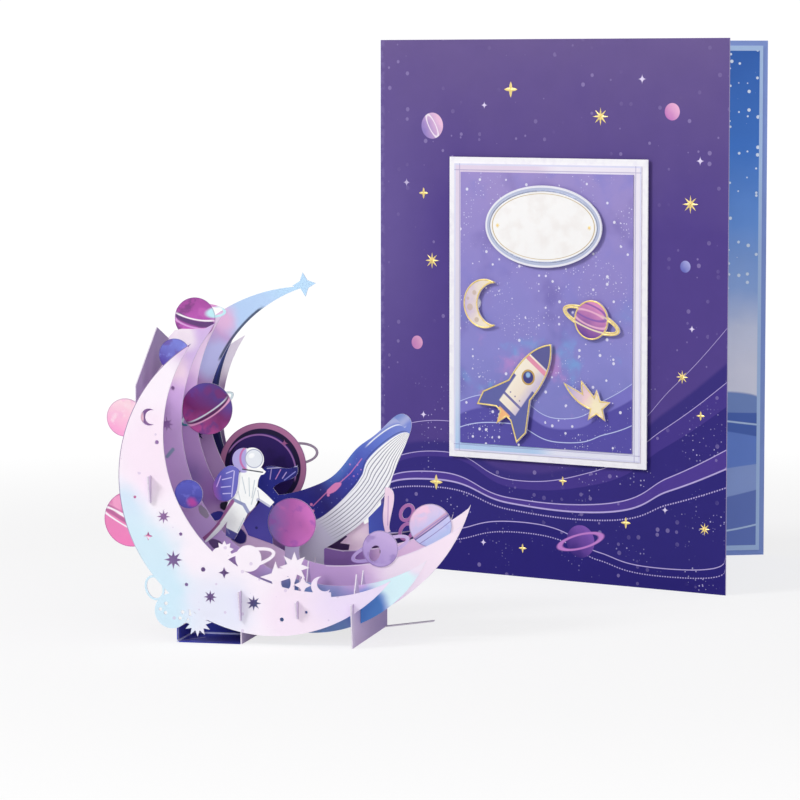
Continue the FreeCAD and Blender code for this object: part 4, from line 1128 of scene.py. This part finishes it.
class CARD_OT_whale(Operator):
    """The whale, with a grooved belly, and its flipper"""
    bl_idname = "pop_up_card.whale"
    bl_label = "Whale"

    def execute(self, context):
        dress("whale", self.body(), "whale_paper")
        dress("whale_flipper", self.flipper(), "whale_flipper_paper")
        return {"FINISHED"}

    def along(self, name):
        """A sheet laid out along the body, from the stem up to the head."""
        anchor = around(INNER[4], 255)
        return Sheet(name, (math.cos(WHALE_LEAN), 0, math.sin(WHALE_LEAN)),
                     (-math.sin(WHALE_LEAN), 0, math.cos(WHALE_LEAN)), (anchor[0], 0, anchor[1]))

    def turned(self, *points):
        """Upright places from the stem's foot, as places along the body."""
        cosine, sine = math.cos(WHALE_LEAN), math.sin(WHALE_LEAN)
        return [(x * cosine + z * sine, -x * sine + z * cosine) for x, z in points]

    def body(self):
        sheet = self.along("whale_print")
        wet = sheet.grain(6.0, 4.0)
        sheet.colour = (sheet.across + wet * 10.0).ramp(
            (10.0, (48, 56, 164)), (24.0, (34, 30, 114)), (38.0, (54, 62, 168)),
            (52.0, (98, 120, 208)), (64.0, (124, 140, 214)))
        top = sheet.across.curve(self.turned(
            (1.9, 16.1), (8.0, 20.4), (14.1, 26.5), (17.9, 31.7), (22.1, 39.6), (28.2, 44.7), (35.2, 46.1)))
        low = sheet.across.curve(self.turned(
            (0.0, 2.8), (4.6, 6.1), (14.5, 12.6), (19.9, 17.4), (24.2, 22.8), (27.6, 27.4), (30.8, 36.9),
            (35.4, 47.0)))
        past = sheet.up - top
        sheet.over((206, 206, 236), past.above(4.4, 1.2) * sheet.across.above(46.0, 4.0) * 0.9)
        sheet.over((86, 122, 200), past.fade(3.0, 8.0) * sheet.across.fade(20.0, 30.0) * 0.8)
        vein = self.turned((0.8, 20.9), (5.9, 26.0), (10.9, 29.7), (13.9, 32.4), (18.0, 37.6))
        leaf, tuft = self.turned((8.2, 27.2), (16.0, 35.0))
        blot = sheet.oval(leaf, 3.2, 1.15, -4, sheet.loosened(0.5, 2.5)).below(1.0, 0.12)
        for start, end in zip(vein, vein[1:]):
            blot = blot.most(sheet.stroke(start, end, 0.32, 0.15) * 0.8)
        for at in self.turned((6.2, 24.8), (0.8, 19.2), (0.2, 21.4)):
            blot = blot.most(sheet.disc(at, 0.5, 0.15))
        sheet.over((226, 132, 188), blot * 0.95)
        sheet.over((184, 132, 206), sheet.specks(1.8, 0.3) * sheet.disc(tuft, 4.0, 2.0))
        sheet.over((140, 150, 214), sheet.specks(1.2, 0.3) * 0.35)
        share = (sheet.up - low) / (top - low)
        groove = (share * 9.0 + sheet.across * 0.03).math("FRACT").near(0.5, 0.12, 0.08)
        pale = (sheet.across + wet * 6.0).ramp((12.0, (224, 226, 240)), (24.0, (246, 246, 252)),
                                              (60.0, (254, 254, 254)))
        pale = sheet.lay(pale, (112, 114, 138), groove * sheet.across.fade(12.0, 20.0, 0.3, 0.95)
                         * share.below(0.95, 0.05))
        sheet.over(pale, past.below(0.0, 0.1) * sheet.across.above(11.0, 0.8))
        sheet.over((26, 30, 86), past.near(0.5, 0.16, 0.1) * sheet.across.above(26.0, 3.0) * 0.6)
        sheet.over((240, 244, 253), past.near(3.4, 0.22, 0.14) * sheet.across.near(50.0, 7.0, 1.5))
        stalk = sheet.across.below(12.4, 1.2) * (sheet.up + sheet.across * 0.35).below(15.0, 1.2)
        sheet.over((224, 222, 240), stalk)
        for over, *ends in (((190, 170, 232), (-13.9, 33.2), (-14.4, 29.8)),
                            ((214, 150, 216), (-10.6, 33.2), (-12.4, 29.9)),
                            ((190, 170, 232), (-8.6, 32.3), (-10.0, 30.2)),
                            ((150, 150, 226), (-5.4, 32.6), (-9.3, 29.6)),
                            ((226, 224, 246), (-12.4, 26.9), (-5.2, 30.8)),
                            ((206, 204, 240), (-15.4, 33.5), (-5.0, 34.4)),
                            ((150, 170, 220), (-11.0, 24.9), (-3.2, 26.5))):
            sheet.over(over, sheet.stroke(*self.turned(*ends), 0.36))
        return sheet.finish(0.5, mottle=0.05, coat=0.06)

    def flipper(self):
        """A pale near leaf, a blue far one, and a dark line between them."""
        sheet = self.along("flipper_print")
        past = sheet.up - sheet.across.curve(
            self.turned((26.6, 11.6), (25.5, 17.0), (25.9, 22.8), (26.3, 28.4)))
        tone = sheet.across + sheet.grain(3.0) * 5.0
        sheet.colour = tone.ramp((24.0, (72, 92, 186)), (36.0, (58, 66, 160)))
        sheet.over(tone.ramp((24.0, (228, 196, 232)), (36.0, (250, 222, 240))), past.below(0.0, 0.1))
        sheet.over((74, 64, 130), past.near(0.1, 0.14, 0.08))
        sheet.over((186, 140, 200), sheet.stroke(*self.turned((27.4, 25.0), (27.2, 15.0)), 0.3) * 0.8)
        return sheet.finish(0.5)


class CARD_OT_astronaut(Operator):
    """The floating figure in a space suit with a plain closed visor, and its pack"""
    bl_idname = "pop_up_card.astronaut"
    bl_label = "Astronaut"

    def execute(self, context):
        dress("astronaut", self.suit(), "astronaut_paper")
        dress("astronaut_pack", self.pack(), "astronaut_pack_paper")
        return {"FINISHED"}

    def own(self, name):
        anchor = around(INNER[2], 219.7, -1.0)
        return Sheet(name, origin=(anchor[0], 0, anchor[1]))

    def suit(self):
        sheet = self.own("suit_print")
        sheet.colour = (sheet.across + sheet.grain(3.0) * 4.0).ramp(
            (0.0, (236, 238, 244)), (8.0, (250, 252, 251)), (16.0, (254, 255, 253)))
        for start, end in (((8.0, 16.0), (9.2, 10.5)), ((10.4, 15.8), (10.6, 9.6)), ((12.4, 15.0), (11.4, 9.0)),
                           ((6.6, 11.0), (7.6, 7.0)), ((12.8, 12.4), (11.2, 6.8)), ((8.6, 2.0), (6.4, -2.6))):
            sheet.over((176, 190, 200), sheet.stroke(start, end, 0.3, 0.16) * 0.8)
        rear = sheet.stroke((4.6, 7.6), (-0.6, 0.2), 1.4, 0.25).most(
            sheet.stroke((-0.6, 0.2), (-5.6, -5.4), 1.7, 0.25))
        sheet.draw(sheet.stroke,
                   ((140, 148, 188), 1, (5.0, 8.2), (8.6, 6.6), 1.1, 0.15),
                   ((150, 156, 196), 1, (8.6, 6.6), (10.6, 3.2), 1.2, 0.15),
                   ((70, 66, 142), 1, (2.6, -3.0), (6.0, -4.6), 2.6, 0.2),
                   ((112, 112, 168), 1, (1.8, -0.8), (3.4, -3.4), 0.5),
                   ((176, 178, 206), 0.85, (13.6, 8.3), (17.2, 6.2), 1.3, 0.25),
                   ((96, 104, 140), 0.7, (13.5, 11.6), (14.0, 8.4), 0.25))
        sheet.over((146, 84, 140), rear)
        back = sheet.oval((8.4, 21.9), 4.2, 4.4).below(1.0, 0.04) * sheet.across.below(9.6, 0.5)
        sheet.over((176, 166, 222), back)
        sheet.over((196, 110, 170), sheet.circle_line((12.0, 22.4, 4.6), 0.7)
                   * sheet.across.below(10.0, 0.6) * sheet.up.above(18.6, 0.4))
        sheet.over((44, 48, 66), sheet.stroke((8.2, 18.7), (15.2, 17.8), 0.42))
        visor = sheet.oval((12.2, 22.4), 3.0, 3.1, -10)
        sheet.over((232, 236, 242), visor.below(1.0, 0.05))
        sheet.over((166, 172, 196), visor.near(1.0, 0.05, 0.03))
        sheet.over((252, 254, 255), sheet.oval((11.4, 23.4), 1.1, 0.8, 30).below(1.0, 0.3))
        return sheet.finish(0.45, mottle=0.03, coat=0.08)

    def pack(self):
        sheet = self.own("pack_print")
        sheet.colour = (sheet.across + sheet.up * 0.2 + sheet.grain(3.0) * 3.0).ramp(
            (1.0, (146, 82, 164)), (5.0, (84, 78, 172)), (9.0, (106, 104, 192)))
        pale = (196, 190, 236)
        sheet.draw(sheet.stroke,
                   (pale, 1, (2.6, 17.2), (5.0, 18.2), 0.35), (pale, 1, (1.2, 15.0), (4.4, 15.8), 0.35),
                   (pale, 1, (0.8, 12.4), (4.0, 12.8), 0.35), (pale, 1, (1.4, 10.2), (4.0, 10.4), 0.35),
                   (pale, 1, (5.4, 18.0), (4.4, 9.2), 0.4),
                   ((196, 160, 226), 1, (0.6, 16.2), (-0.8, 12.6), 0.4))
        return sheet.finish(0.5)


class CARD_OT_backdrops(Operator):
    """The starburst and the small night panel behind the whale"""
    bl_idname = "pop_up_card.backdrops"
    bl_label = "Starburst and night panel"

    def execute(self, context):
        sheet = Sheet("starburst_print")
        middle = around(INNER[4], 276.5, -12.0)
        sheet.colour = (sheet.distance(middle) + sheet.grain(3.0) * 4.0).ramp(
            (2.0, (252, 230, 242)), (9.0, (236, 204, 232)))
        dress("starburst", sheet.finish(0.5), "starburst_paper")
        sheet = Sheet("night_panel_print")
        sheet.colour = (sheet.up + sheet.grain(6.0) * 10.0).ramp((28.0, (98, 90, 188)), (50.0, (84, 78, 178)))
        sheet.over((30, 30, 96), sheet.specks(3.0, 0.3) * 0.8)
        dress("night_panel", sheet.finish(), "night_panel_paper")
        return {"FINISHED"}


class CARD_PT_pieces(Panel):
    """Lists the pieces in the order in which they are made"""
    bl_idname = "CARD_PT_pieces"
    bl_label = "Pop up card"
    bl_space_type = "VIEW_3D"
    bl_region_type = "UI"
    bl_category = "Pop up card"

    def draw(self, context):
        for maker in MAKERS:
            self.layout.operator(maker.bl_idname)
        for title, group in (("Papers", context.scene.card_papers), ("Foils", context.scene.card_foils),
                             ("Studio", context.scene.card_studio)):
            box = self.layout.box()
            box.label(text=title)
            for name in group.__annotations__:
                box.prop(group, name)


GROUPS = {"card_papers": CardPapers, "card_foils": CardFoils, "card_studio": CardStudio}
MAKERS = (CARD_OT_stage, CARD_OT_card, CARD_OT_picture, CARD_OT_badges, CARD_OT_crescents,
          CARD_OT_ribs, CARD_OT_planets, CARD_OT_whale, CARD_OT_astronaut, CARD_OT_backdrops)


def register():
    for name, group in GROUPS.items():
        bpy.utils.register_class(group)
        setattr(bpy.types.Scene, name, PointerProperty(type=group))
    for maker in MAKERS + (CARD_PT_pieces,):
        bpy.utils.register_class(maker)


def unregister():
    for maker in (CARD_PT_pieces,) + MAKERS[::-1]:
        bpy.utils.unregister_class(maker)
    for name, group in GROUPS.items():
        delattr(bpy.types.Scene, name)
        bpy.utils.unregister_class(group)


def main():
    register()
    for maker in MAKERS:
        group, name = maker.bl_idname.split(".")
        getattr(getattr(bpy.ops, group), name)()


if __name__ == "__main__":
    main()
